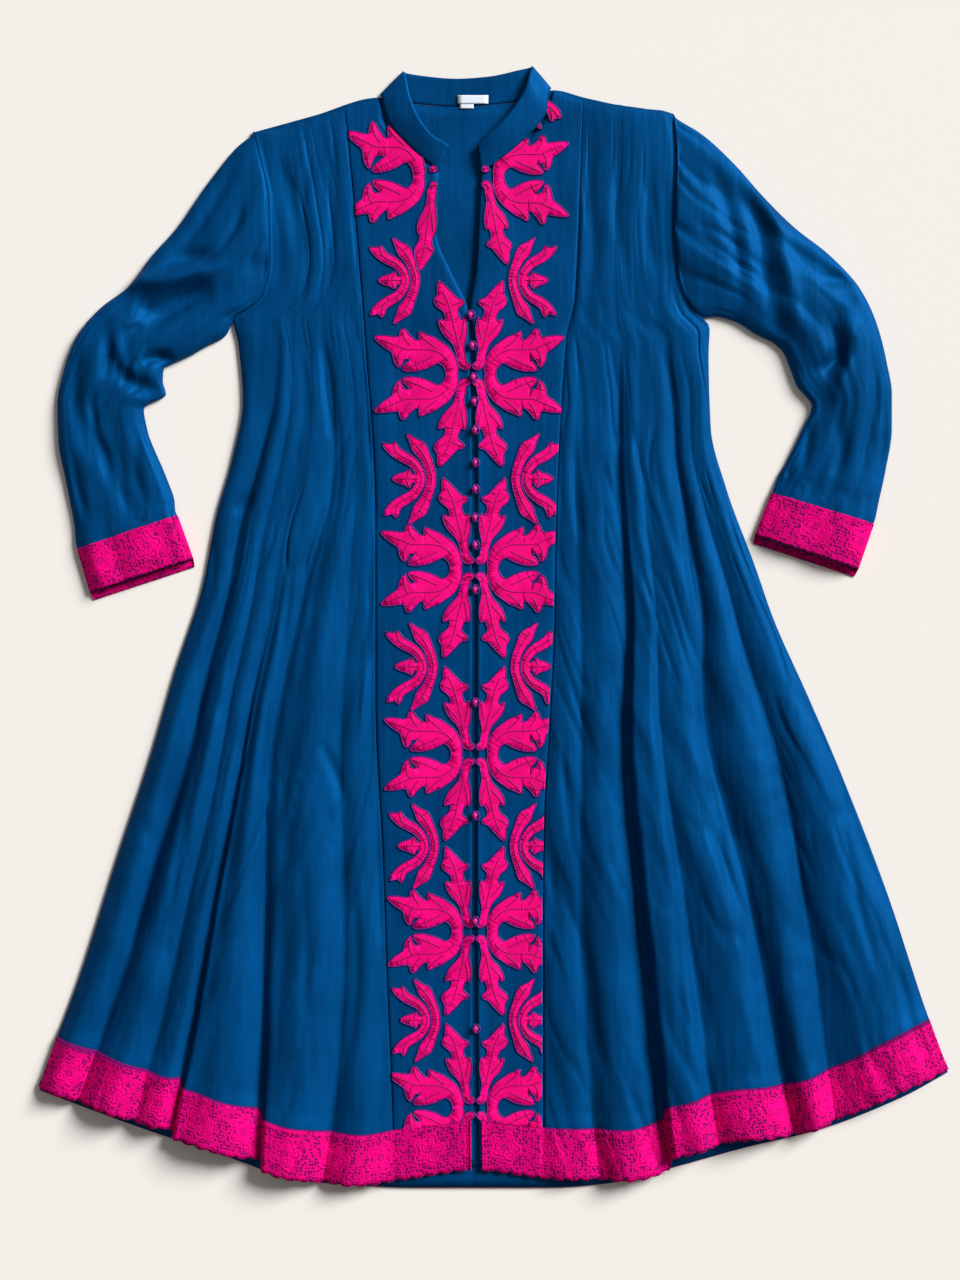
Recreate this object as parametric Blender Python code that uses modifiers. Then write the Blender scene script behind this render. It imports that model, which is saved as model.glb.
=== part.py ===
"""Kaftan dress of satin, laid flat on a surface and built from its cut pieces.

Metres, +Z up. The neck points to +Y and the hem to -Y. The floor is z = 0 and the origin is the middle
of the outline. Tables are in millimetres. Left and right are those of a viewer who looks down on the dress.
"""

import math

import bmesh
import bpy
import numpy as np
from mathutils import Vector

MM = 0.001

# Thicknesses and clearances
CLOTH = 1.2
BACK_CLOTH = 1.5
LACE = 1.0
APPLIQUE = 1.0
STRIP = 1.0
SEAM_GAP = 0.3
LACE_GAP = 0.5

# Heights of the upper side of the layers
BACK_TOP = BACK_CLOTH
EDGE_TOP = 3.0
CENTRE_TOP = 4.3
HEM_LIFT = 1.3
HEM_RAMP = 13.0
ARMHOLE_GAP = 1.5

# Lace bands, placket and buttons
LACE_WIDTH = 49.0
BACK_LACE_WIDTH = 44.0
PLACKET_HALF = 3.5
STRIP_WIDTH = 11.0
BUTTON_RADIUS = 3.6
BUTTON_HEIGHT = 4.2

BLUE = (0.003, 0.075, 0.225)
PINK = (0.83, 0.002, 0.2)
WHITE = (0.8, 0.85, 0.9)
LOOKS = {
    "satin": (BLUE, 0.42),
    "lace": (PINK, 0.75),
    "applique": (PINK, 0.65),
    "covered_button": ((0.5, 0.01, 0.25), 0.55),
    "label": (WHITE, 0.6),
}

# Edge of the body on each side, from the shoulder along the armhole and the side seam to the hem: y, x
LEFT_EDGE = (
    (470, -227), (440, -219), (406, -212), (349, -211), (318, -217), (305, -227), (293, -246), (268, -241),
    (216, -237), (160, -247), (106, -262), (39, -275), (-41, -301), (-117, -323), (-221, -357), (-329, -391),
    (-389, -413), (-437, -430),
)
RIGHT_EDGE = (
    (487, 172), (444, 175), (382, 172), (330, 177), (305, 187), (284, 206), (260, 205), (190, 207), (131, 222),
    (61, 248), (7, 267), (-67, 300), (-137, 330), (-251, 374), (-366, 412), (-420, 432),
)
# Seams between the centre fronts and the side fronts: y, x
LEFT_SEAM = ((494, -140), (273, -121), (102, -111), (-69, -111), (-221, -104), (-335, -100), (-458, -95), (-530, -93))
RIGHT_SEAM = ((503, 86), (311, 78), (273, 70), (83, 60), (15, 59), (-95, 54), (-181, 49), (-259, 48), (-530, 48))
# Inner edges of the centre fronts: neckline, V opening and centre line: y, x
LEFT_FRONT = (
    (503, -109), (478, -101), (451, -78), (431, -50), (373, -52), (338, -39), (303, -23), (273, -20), (157, -17),
    (-69, -17), (-259, -17), (-530, -15),
)
RIGHT_FRONT = (
    (511, 58), (487, 52), (461, 31), (441, 6), (429, -12), (391, -14), (338, -17), (303, -22), (273, -20),
    (157, -17), (-69, -17), (-259, -17), (-530, -15),
)
CENTRE_LINE = ((303, -22), (273, -20), (157, -17), (-69, -17), (-259, -17), (-530, -15))
# Lower edge of the front, from left to right, with the overlap of the deepest fold at x 176: x, y
FRONT_HEM = (
    (-430, -437), (-348, -467), (-300, -482), (-244, -501), (-180, -520), (-126, -527), (-79, -523), (-17, -515),
    (59, -523), (125, -523), (169, -515), (184, -501), (241, -484), (276, -482), (336, -463), (389, -438),
    (432, -420),
)
BACK_HEM = (
    (-429, -439), (-346, -470), (-240, -506), (-187, -524), (-126, -529), (-79, -531), (55, -531), (125, -525),
    (171, -512), (240, -493), (310, -476), (389, -445), (431, -422),
)
# Upper edge of the back: left shoulder, back neck and right shoulder: x, y
BACK_TOP_EDGE = (
    (-228, 470), (-170, 486), (-109, 503), (-76, 497), (-35, 494), (-4, 496), (22, 499), (58, 510), (87, 503),
    (124, 495), (172, 487),
)
# Where the rows of points meet the armhole: y
ARMHOLE_ROWS = (450, 420, 385, 350, 318, 304, 292, 270)
# Height of the upper side along each armhole: y, z
ARMHOLE_HEIGHT = ((480, 3.0), (450, 6.0), (390, 8.0), (330, 7.0), (302, 4.5), (288, 3.0))
UNDERARM = 288

# Levels down the skirt, as shares of the way from the shoulder to the hem
LEVELS = (0.18, 0.33, 0.47, 0.62, 0.77, 1.0)
# Fold lines, from the side seam to the panel seam. Each has its share of the way across at the six levels
# (bust, waist, hip, thigh, knee, hem), then its height there.
LEFT_FOLDS = (
    ("crest", (0.10, 0.08, 0.08, 0.07, 0.07, 0.05), (6.0, 6.0, 6.5, 7.0, 8.0, 8.0)),
    ("trough", (0.34, 0.20, 0.15, 0.16, 0.14, 0.11), (4.5, 3.8, 3.8, 3.8, 3.6, 3.4)),
    ("crest", (0.40, 0.27, 0.24, 0.24, 0.22, 0.20), (6.5, 7.0, 8.0, 9.0, 10.0, 10.5)),
    ("trough", (0.44, 0.34, 0.29, 0.29, 0.28, 0.27), (6.0, 6.0, 6.5, 6.5, 6.5, 6.0)),
    ("crest", (0.48, 0.40, 0.35, 0.34, 0.34, 0.34), (7.0, 7.0, 7.5, 8.5, 9.5, 10.0)),
    ("trough", (0.53, 0.46, 0.41, 0.385, 0.385, 0.39), (6.5, 6.5, 6.0, 5.0, 4.0, 3.6)),
    ("crest", (0.60, 0.54, 0.47, 0.44, 0.47, 0.50), (7.0, 7.0, 8.0, 9.0, 11.0, 12.0)),
    ("trough", (0.68, 0.72, 0.56, 0.50, 0.57, 0.62), (5.0, 4.5, 3.8, 3.6, 3.6, 3.4)),
    ("crest", (0.77, 0.80, 0.70, 0.68, 0.72, 0.71), (6.0, 6.5, 7.0, 8.0, 9.0, 10.0)),
    ("trough", (0.85, 0.87, 0.84, 0.83, 0.87, 0.80), (5.5, 5.5, 5.5, 4.8, 4.5, 4.0)),
    ("crest", (0.93, 0.94, 0.93, 0.92, 0.94, 0.90), (6.0, 6.0, 6.0, 6.5, 7.0, 8.0)),
)
RIGHT_FOLDS = (
    ("crest", (0.06, 0.07, 0.07, 0.08, 0.12, 0.14), (6.0, 6.0, 6.5, 7.0, 8.0, 9.0)),
    ("trough", (0.13, 0.13, 0.135, 0.15, 0.21, 0.28), (6.0, 5.5, 4.5, 3.8, 3.8, 3.6)),
    ("crest", (0.22, 0.18, 0.20, 0.27, 0.29, 0.33), (7.0, 7.0, 8.0, 9.0, 10.0, 10.0)),
    ("trough", (0.30, 0.23, 0.27, 0.39, 0.37, 0.38), (4.8, 4.2, 3.8, 3.8, 3.8, 3.8)),
    ("crest", (0.40, 0.36, 0.39, 0.48, 0.47, 0.48), (7.0, 7.5, 8.5, 9.5, 10.5, 11.0)),
    ("trough", (0.50, 0.47, 0.50, 0.57, 0.57, 0.57), (6.5, 6.5, 7.0, 7.5, 7.5, 6.5)),
    ("crest", (0.56, 0.54, 0.58, 0.67, 0.66, 0.66), (7.0, 8.0, 9.5, 11.0, 12.0, 12.0)),
    ("trough", (0.62, 0.60, 0.64, 0.73, 0.72, 0.715), (4.5, 4.0, 3.6, 3.4, 3.4, 3.3)),
    ("crest", (0.74, 0.74, 0.76, 0.80, 0.79, 0.79), (6.0, 7.0, 7.5, 8.0, 9.0, 9.5)),
    ("trough", (0.90, 0.89, 0.87, 0.87, 0.885, 0.86), (5.5, 5.0, 4.8, 4.8, 4.5, 4.0)),
    ("crest", (0.95, 0.945, 0.94, 0.94, 0.95, 0.93), (6.0, 6.0, 6.0, 6.0, 7.0, 8.0)),
)

# Sleeve sections from the armhole to the wrist: outer edge x, y, inner edge x, y, height
LEFT_SLEEVE = (
    (-228, 471, -247, 290, 9.0), (-246, 459, -257, 287, 11.0), (-270, 424, -265, 276, 13.0),
    (-299, 380, -277, 268, 14.0), (-323, 353, -287, 259, 15.0), (-346, 323, -300, 252, 15.5),
    (-372, 303, -312, 245, 16.0), (-394, 277, -313, 234, 16.0), (-406, 247, -310, 221, 15.0),
    (-413, 211, -331, 207, 13.0), (-412, 176, -327, 185, 13.0), (-405, 139, -311, 146, 12.0),
    (-397, 97, -302, 121, 11.5),
)
RIGHT_SLEEVE = (
    (173, 487, 207, 294, 9.0), (200, 473, 217, 294, 11.0), (228, 443, 226, 295, 13.0),
    (255, 411, 239, 290, 14.0), (286, 380, 251, 279, 15.0), (320, 353, 265, 271, 15.5),
    (349, 321, 276, 261, 16.0), (365, 287, 282, 247, 16.0), (374, 252, 289, 229, 15.0),
    (379, 221, 303, 210, 14.0), (379, 188, 294, 188, 13.0), (373, 149, 278, 155, 12.0),
    (367, 121, 271, 143, 11.5),
)
# Lace cuffs: outer and inner corner at the top, then at the mouth
LEFT_CUFF = ((-395, 79), (-301, 111), (-381, 32), (-284, 64))
RIGHT_CUFF = ((363, 103), (267, 132), (346, 54), (249, 86))
CUFF_HEIGHT = 12.0
CUFF_UNDER_LAYER = 8.0
# How far the first sections bend with the armhole, and the share across near the outer edge that doesn't
SLEEVE_BOW = (1.0, 0.8, 0.5, 0.22, 0.05)
OUTER_SHARE = 0.2
# Main folds on the upper side of each sleeve: section and share across at each end, half width, depth
LEFT_SLEEVE_FOLDS = (
    (0.6, 0.78, 5.0, 0.30, 9.0, 3.0), (0.8, 0.55, 4.2, 0.12, 8.0, 2.0), (5.4, 0.98, 7.0, 0.55, 7.0, 4.5),
    (8.2, 0.96, 9.6, 0.70, 7.0, 3.5), (9.0, 0.30, 12.0, 0.42, 7.0, 2.5), (9.6, 0.75, 12.0, 0.72, 7.0, 2.0),
)
RIGHT_SLEEVE_FOLDS = (
    (1.2, 0.62, 6.4, 0.93, 8.0, 3.0), (2.0, 0.30, 5.4, 0.42, 8.0, 2.0), (6.2, 0.30, 8.6, 0.90, 7.0, 4.5),
    (7.4, 0.25, 9.4, 0.75, 6.0, 2.5), (9.4, 0.62, 12.0, 0.60, 7.0, 2.5), (9.8, 0.25, 12.0, 0.30, 7.0, 2.0),
)

# Collar from its left front end round the back to its right front end: base x, y, z, then top x, y, z
COLLAR = (
    (-51, 433, 4.6, -41, 457, 7.5), (-76, 454, 5.0, -57, 466, 10.0), (-98, 479, 5.2, -70, 483, 11.0),
    (-103, 494, 4.8, -78, 503, 10.0), (-104, 501, 4.2, -82, 521, 6.5), (-106, 505, 2.4, -84, 527, 3.0),
    (-102, 503, 0.8, -80, 526, 0.8), (-76, 498, 0.8, -68, 524, 1.0), (-35, 494.5, 0.8, -35, 521, 1.4),
    (-4, 496.5, 0.8, -4, 523, 1.4), (22, 499.5, 0.8, 24, 529, 1.2), (50, 508.5, 0.8, 33, 531, 0.8),
    (55, 511, 2.4, 37, 532, 3.0), (53, 506, 4.2, 35, 525, 6.5), (51, 489, 5.0, 31, 510, 10.0),
    (30, 463, 5.2, 14, 484, 11.0), (6, 443, 5.3, -2, 468, 10.0), (-11, 431, 4.9, -14, 457, 7.5),
)
COLLAR_CLOTH = 1.4

BUTTON_ROWS = (296, 267, 237, 214, 187, 156, 131, 104, 78, 36, -71, -178, -278, -380)
NECK_LABEL = ((-33, 505), (-4, 505), (-4, 498), (-18, 498), (-18, 493), (-31, 493), (-31, 498), (-33, 498))
LABEL_BOTTOM = 2.2
LABEL_CLOTH = 1.0

# Leaf shapes of the applique, pointing away from the centre line: the spine as x, y, half width, then the
# lobes as side, place on the spine, reach to the side, shift along the spine
SCROLL_SPINE = (
    (95, 34, 0.4), (80, 28, 5.5), (61, 22, 7.0), (38, 21, 7.5), (20, 13, 5.2), (14.5, 0, 4.2),
    (20, -13, 5.2), (38, -21, 7.5), (61, -22, 7.0), (80, -28, 5.5), (95, -36, 0.4),
)
SCROLL_LOBES = (
    ("right", 1.2, 14, -5), ("right", 2.5, 15, -7), ("right", 7.5, 15, 7), ("right", 8.8, 14, 5),
    ("left", 1.7, 16, 0), ("left", 2.6, 15, -17), ("left", 7.4, 15, 17), ("left", 8.3, 16, 0),
)
LEAF_SPINE = ((15, 1, 2.0), (10, 10, 3.2), (12, 30, 5.0), (14, 48, 7.0), (20, 62, 6.0), (31, 80, 0.4))
FIRST_LEAF_SPINE = ((15, 1, 2.0), (10, 10, 3.2), (12, 30, 5.0), (13, 48, 6.0), (16, 62, 5.0), (20, 82, 0.4))
LEAF_LOBES = (("left", 2.7, 7, 5), ("left", 3.8, 10, 3), ("right", 2.7, 14, 7), ("right", 3.7, 12, 5))
SPRIG_OUTER_SPINE = (
    (59, 42, 0.4), (49, 31, 5.5), (40, 17, 3.2), (33, 0, 3.4), (40, -17, 3.2), (49, -31, 5.5), (58, -42, 0.4),
)
SPRIG_INNER_SPINE = (
    (80, 34, 0.4), (68, 25, 5.5), (51, 16, 3.4), (39.5, 0, 5.0), (51, -16, 3.4), (68, -25, 5.5), (80, -34, 0.4),
)
SPRIG_INNER_LOBES = (("left", 0.6, 12, 4), ("right", 5.4, 12, -4))
SPRIG_BUD_SPINE = ((40, 0, 4.5), (50, 0, 4.0), (58, 0, 6.5), (70, 0, 0.4))
SPRIG_BUD_LOBES = (("left", 1.55, 11, 3), ("right", 1.55, 11, 3))
# Line that the motifs of each front are set out from: y, x
LEFT_AXIS = ((427, -52), (329, -34), (240, -20), (157, -17), (-530, -16))
RIGHT_AXIS = ((427, -11), (329, -18), (240, -20), (157, -17), (-530, -16))
APPLIQUE_END = -451
SEAM_MARGIN = 2.2
BIG_ROWS = (427, 240, 56, -120, -288, -455)
SMALL_ROWS = (329, 141, -37, -207, -372)
MOTIF_SCALE = (0.9, 1.0, 0.97, 0.93, 0.90, 0.90)


def smooth(table, at):
    """Value of a two-column table at each place, along a curve with no overshoot."""
    rows = sorted(table)
    x = np.array([row[0] for row in rows], float)
    y = np.array([row[1] for row in rows], float)
    step = np.diff(x)
    slope = np.diff(y) / step
    inner = np.where(
        slope[:-1] * slope[1:] > 0,
        2 * slope[:-1] * slope[1:] / np.where(slope[:-1] + slope[1:] == 0, 1, slope[:-1] + slope[1:]),
        0,
    )
    tangent = np.concatenate([[slope[0]], inner, [slope[-1]]])
    at = np.asarray(at, float)
    i = np.clip(np.searchsorted(x, at) - 1, 0, len(step) - 1)
    t = np.clip((at - x[i]) / step[i], 0, 1)
    return (
        y[i] * (1 + 2 * t) * (1 - t) ** 2
        + y[i + 1] * t * t * (3 - 2 * t)
        + step[i] * (tangent[i] * t * (1 - t) ** 2 - tangent[i + 1] * t * t * (1 - t))
    )


def material(name):
    found = bpy.data.materials.get(name)
    if found:
        return found
    made = bpy.data.materials.new(name)
    made.use_nodes = True
    colour, roughness = LOOKS[name]
    shader = made.node_tree.nodes["Principled BSDF"]
    shader.inputs["Base Color"].default_value = (*colour, 1)
    shader.inputs["Roughness"].default_value = roughness
    shader.inputs["Metallic"].default_value = 0
    return made


def add_object(name, mesh, look, collection):
    made = bpy.data.objects.new(name, mesh)
    mesh.materials.clear()
    mesh.materials.append(material(look))
    mesh.shade_smooth()
    mesh.set_sharp_from_angle(angle=math.radians(40))
    collection.objects.link(made)
    return made


def sheet(name, grid, thickness, look, collection, offset=-1.0, ring=False):
    """Cloth wall on a grid of points in millimetres, its rows across and its columns along."""
    rows, columns = grid.shape[:2]
    points = [tuple(point * MM) for point in grid.reshape(-1, 3)]
    across = columns if ring else columns - 1
    faces = [
        (r * columns + c, (r + 1) * columns + c, (r + 1) * columns + (c + 1) % columns, r * columns + (c + 1) % columns)
        for r in range(rows - 1)
        for c in range(across)
    ]
    mesh = bpy.data.meshes.new(name)
    mesh.from_pydata(points, [], faces)
    made = add_object(name, mesh, look, collection)
    wall = made.modifiers.new("cloth", "SOLIDIFY")
    wall.thickness = thickness * MM
    wall.offset = offset
    wall.use_rim = True
    return made


def normals(grid):
    """Unit normals of a grid of points, on the side that faces up."""
    along = np.gradient(grid, axis=0)
    across = np.gradient(grid, axis=1)
    n = np.cross(across, along)
    n *= np.where(n[..., 2:] < 0, -1, 1)
    return n / np.linalg.norm(n, axis=2, keepdims=True)


def rows_down(top_y, hem, band, edge_top, edge_hem, skirt_rows=8):
    """Rows of y from the upper edge to the hem, the last ones set out from the hem, and how far each climbs
    over the lace under the hem. The upper ones meet the side edge at the armhole's rows."""
    start = band + HEM_RAMP
    reach = edge_top - (edge_hem + start)
    armhole = (edge_top - np.array([edge_top, *ARMHOLE_ROWS])) / reach
    shares = np.concatenate([armhole, np.linspace(armhole[-1], 1, skirt_rows + 1)[1:]])[:, None]
    upper = top_y + (hem + start - top_y) * shares
    lower = hem + np.array([band, band / 2, 0.0])[:, None]
    lift = np.concatenate([np.zeros(len(shares)), np.full(3, HEM_LIFT)])
    return np.concatenate([upper, lower]), lift[:, None]


def shares_down(y):
    """Share of the way down, from 0 at the shoulder to 1 at the hem, for each row of y."""
    return (y[:1] - y) / (y[:1] - y[-1:])


def front_panel(edge, seam, top_edge, folds, steps=2):
    """Points of a side front, from the side edge to the panel seam, shoulder to hem."""
    lines = [("trough", (0,) * 6, (EDGE_TOP,) * 6), *folds, ("trough", (1,) * 6, (CENTRE_TOP,) * 6)]
    hem_places = [near[1][-1] + (far[1][-1] - near[1][-1]) * k / steps
                  for near, far in zip(lines[:-1], lines[1:]) for k in range(steps)] + [1]
    corner, seam_end = edge[-1][1], float(smooth(seam, -520))
    hem = smooth(FRONT_HEM, corner + (seam_end - corner) * np.array(hem_places))
    top_y = top_edge[0] + (top_edge[1] - top_edge[0]) * np.array(hem_places)
    y, lift = rows_down(top_y, hem, LACE_WIDTH, top_edge[0], hem[0])
    levels = shares_down(y)[:, 0]
    places, heights = [], []
    for near, far in zip(lines[:-1], lines[1:]):
        near_at, far_at = (smooth(tuple(zip(LEVELS, line[1])), levels) for line in (near, far))
        near_z, far_z = (smooth(tuple(zip(LEVELS, line[2])), levels) for line in (near, far))
        for k in range(steps):
            t = k / steps
            rise = math.sin(math.pi / 2 * t) if near[0] == "trough" else 1 - math.sin(math.pi / 2 * (1 - t))
            places.append(near_at + (far_at - near_at) * t)
            heights.append(near_z + (far_z - near_z) * rise)
    across = np.array([*places, np.ones(len(levels))]).T
    height = np.array([*heights, np.full(len(levels), CENTRE_TOP)]).T
    side = smooth(edge, y[:, 0])
    inner = smooth(seam, y[:, -1])
    inner = inner - np.sign(inner - side) * SEAM_GAP / 2
    x = side[:, None] + (inner - side)[:, None] * across
    arm = np.maximum(smooth(ARMHOLE_HEIGHT, y[:, 0]), EDGE_TOP)[:, None]
    height = height + (arm - height) * (1 - np.clip(across / 0.1, 0, 1)) * (y[:, :1] > UNDERARM)
    height = EDGE_TOP + (height - EDGE_TOP) * shoulder_roll(y)
    return np.stack([x, y, height + lift], axis=2)


def shoulder_roll(y, width=35.0):
    """How far the cloth has risen from the seam along the shoulder, from 0 to 1."""
    return np.sqrt(1 - (1 - np.clip((y[:1] - y) / width, 0, 1)) ** 2)


def centre_panel(seam, inner_edge, top_edge, side_top, side_hem, columns=5):
    """Points of a centre front, from the panel seam to the neckline, V opening and centre line."""
    across = np.linspace(0, 1, columns)
    hem = smooth(FRONT_HEM, smooth(seam, -520) + (smooth(inner_edge, -520) - smooth(seam, -520)) * across)
    top_y = top_edge[0] + (top_edge[1] - top_edge[0]) * across
    y, lift = rows_down(top_y, hem, LACE_WIDTH, side_top, side_hem)
    outer = smooth(seam, y[:, 0])
    inner = smooth(inner_edge, y[:, -1])
    toward = np.sign(inner - outer)
    outer, inner = outer + toward * SEAM_GAP / 2, inner - toward * 2 * SEAM_GAP
    x = outer[:, None] + (inner - outer)[:, None] * across
    z = EDGE_TOP + (CENTRE_TOP - EDGE_TOP) * shoulder_roll(y, 20) + lift
    return np.stack([x, y, z], axis=2)


def lace_over(grids, rows=3):
    """Points of a lace band over the last rows of neighbouring panels, moved out from theirs."""
    parts = [(grid + normals(grid) * (LACE_GAP + LACE))[-rows:] for grid in grids]
    return np.concatenate([parts[0][:, :-1], *parts[1:]], axis=1)


def back_panel():
    """Points of the back, with a column at each point of its upper edge."""
    corners = np.array([x for x, _ in BACK_TOP_EDGE], float)
    across = (corners - corners[0]) / (corners[-1] - corners[0])
    hem = smooth(BACK_HEM, BACK_HEM[0][0] + (BACK_HEM[-1][0] - BACK_HEM[0][0]) * across)
    top_y = np.array([y for _, y in BACK_TOP_EDGE], float)
    y, lift = rows_down(top_y, hem, BACK_LACE_WIDTH + 1, top_y[0], hem[0])
    left = smooth(LEFT_EDGE, y[:, 0])
    right = smooth(RIGHT_EDGE, y[:, -1])
    x = left[:, None] + (right - left)[:, None] * across
    return np.stack([x, y, np.full_like(x, BACK_TOP) + lift], axis=2)


def back_lace(columns=26):
    across = np.linspace(0, 1, columns)
    x = BACK_HEM[0][0] + (BACK_HEM[-1][0] - BACK_HEM[0][0]) * across
    low = smooth(BACK_HEM, x) - 0.5
    rows = []
    for share in (1.0, 0.0):
        y = low + BACK_LACE_WIDTH * share
        edge = 1 - 0.045 * share
        rows.append(np.stack([x * edge, y, np.full(columns, LACE)], axis=1))
    return np.array(rows)


def sleeve_section(row, bow, armhole, count, lift):
    """Ring of points in millimetres across one sleeve section: over the top, then back along the underside."""
    outer, inner, height = np.array(row[:2]), np.array(row[2:4]), row[4]
    over = 0.5 - 0.5 * np.cos(np.linspace(0, math.pi, count))
    under = over[::-1][1:-1:2]
    top = np.clip(1 - (2 * over - 1) ** 2, 0, 1) ** 0.42
    edge_z = lift + 1.6
    z = np.concatenate([edge_z + (height + lift - edge_z) * top, np.full(len(under), lift)])
    share = np.concatenate([over, under])
    plan = outer + (inner - outer) * share[:, None]
    if bow:
        kept_out = (1 - bow**4) * (1 - np.clip(share / OUTER_SHARE, 0, 1))
        plan[:, 0] += bow * (1 - kept_out) * (armhole(plan[:, 1]) - plan[:, 0])
    return np.column_stack([plan, z]), share


def sleeve(rows, cuff, panel_edges, folds, outward, count=13):
    """Points of a sleeve, ring by ring, from the armhole along the panels' edges to the cuff's mouth."""
    def armhole(y):
        edges = [np.interp(y, edge[::-1, 1], edge[::-1, 0]) for edge in panel_edges]
        return outward * (np.max([edge * outward for edge in edges], axis=0) + ARMHOLE_GAP)

    top_outer, top_inner, mouth_outer, mouth_inner = (np.array(corner, float) for corner in cuff)
    sections = [(*row, 0.0) for row in rows]
    for share in (0.0, 0.12, 0.55, 0.97):
        outer = top_outer + (mouth_outer - top_outer) * share
        inner = top_inner + (mouth_inner - top_inner) * share
        sections.append((*outer, *inner, CUFF_HEIGHT - LACE - LACE_GAP, LACE + SEAM_GAP))
    rings = []
    for index, row in enumerate(sections):
        bow = SLEEVE_BOW[index] if index < len(SLEEVE_BOW) else 0
        ring, share = sleeve_section(row[:5], bow, armhole, count, row[5])
        for begin, begin_at, end, end_at, half, depth in folds:
            if not begin - 1 < index < end + 1:
                continue
            along = np.clip((index - begin) / (end - begin), 0, 1)
            centre = begin_at + (end_at - begin_at) * along
            width = np.linalg.norm(np.array(row[:2]) - np.array(row[2:4]))
            fade = 1 - abs(2 * along - 1) ** 4
            dip = depth * fade * np.exp(-(((share - centre) * width / half) ** 2))
            ring[:count, 2] = np.maximum(ring[:count, 2] - dip[:count], row[5] + 3.4)
        if index == len(sections) - 1:
            axis = (mouth_outer - top_outer) / np.linalg.norm(mouth_outer - top_outer)
            ring[count:, :2] += axis * CUFF_UNDER_LAYER
        rings.append(ring)
    return np.array(rings)


def cuff_lace(sleeve_grid):
    """Lace ring round the end of a sleeve, made from the sleeve's points, moved out."""
    grid = sleeve_grid[-3:].copy()
    radial = grid - grid.mean(axis=1, keepdims=True)
    ahead = np.roll(grid, -1, axis=1) - grid
    ahead /= np.linalg.norm(ahead, axis=2, keepdims=True)
    behind = np.roll(ahead, 1, axis=1)
    half_turn = np.sqrt((1 + (ahead * behind).sum(axis=2, keepdims=True)) / 2)
    out = np.cross(ahead + behind, np.gradient(grid, axis=0))
    out /= np.linalg.norm(out, axis=2, keepdims=True) * half_turn
    facing = np.where((out * radial).sum(axis=(1, 2), keepdims=True) < 0, -1, 1)
    grid += out * facing * (LACE_GAP + LACE)
    grid[..., 2] = np.maximum(grid[..., 2], 0)
    return grid


def collar(per_station=2):
    """Points of the collar band, along the neck and up the band."""
    stations = np.array(COLLAR, float)
    number = np.arange(len(stations), dtype=float)
    at = np.linspace(0, len(stations) - 1, (len(stations) - 1) * per_station + 1)
    smoothed = np.stack([smooth(tuple(zip(number, column)), at) for column in stations.T], axis=1)
    base, top = smoothed[:, :3], smoothed[:, 3:]
    return np.stack([base + (top - base) * share for share in (0, 0.35, 0.7, 1)], axis=1)


def placket_strip():
    hem = float(smooth(FRONT_HEM, -15)) + 2
    ramp = hem + LACE_WIDTH
    y = np.array([*np.linspace(286, ramp + HEM_RAMP, 14), ramp, ramp - LACE_WIDTH / 2, hem])
    centre = smooth(CENTRE_LINE, y)
    lift = np.where(y > ramp + 1, 0, HEM_LIFT)
    z = BACK_TOP + SEAM_GAP + STRIP + lift
    halves = (-STRIP_WIDTH / 2, STRIP_WIDTH / 2)
    return np.stack([np.stack([centre + half, y, z], axis=1) for half in halves], axis=1)


def leaf(spine, lobes, smoothing=1):
    """Outline of a leaf round a spine, with a pointed lobe at each place given on its left or right."""
    number = np.arange(len(spine), dtype=float)
    columns = [tuple(zip(number, column)) for column in np.array(spine, float).T]

    def at(place):
        x, y, half = (float(smooth(column, place)) for column in columns)
        ahead = [float(smooth(column, min(place + 0.05, number[-1]))) for column in columns[:2]]
        behind = [float(smooth(column, max(place - 0.05, 0))) for column in columns[:2]]
        along = np.array(ahead) - np.array(behind)
        along /= np.linalg.norm(along)
        return np.array([x, y]), along, np.array([-along[1], along[0]]), half

    def flank(side):
        sign = 1 if side == "left" else -1
        own = sorted(lobe for lobe in lobes if lobe[0] == side)
        stops = np.linspace(0, len(spine) - 1, (len(spine) - 1) * smoothing + 1)
        outline = []
        for place in stops:
            if any(abs(place - lobe[1]) < 0.42 for lobe in own):
                continue
            point, along, across, half = at(place)
            outline.append((place, point + across * sign * half))
        for _, place, reach, shift in own:
            point, along, across, half = at(place)
            for end in (-0.3, 0.3):
                notch, _, across_there, half_there = at(place + end)
                outline.append((place + end, notch + across_there * sign * half_there))
            outline.append((place, point + across * sign * reach + along * shift))
        return [point for _, point in sorted(outline, key=lambda item: item[0])]

    right = flank("right")
    return flank("left") + right[::-1][1:-1]


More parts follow.
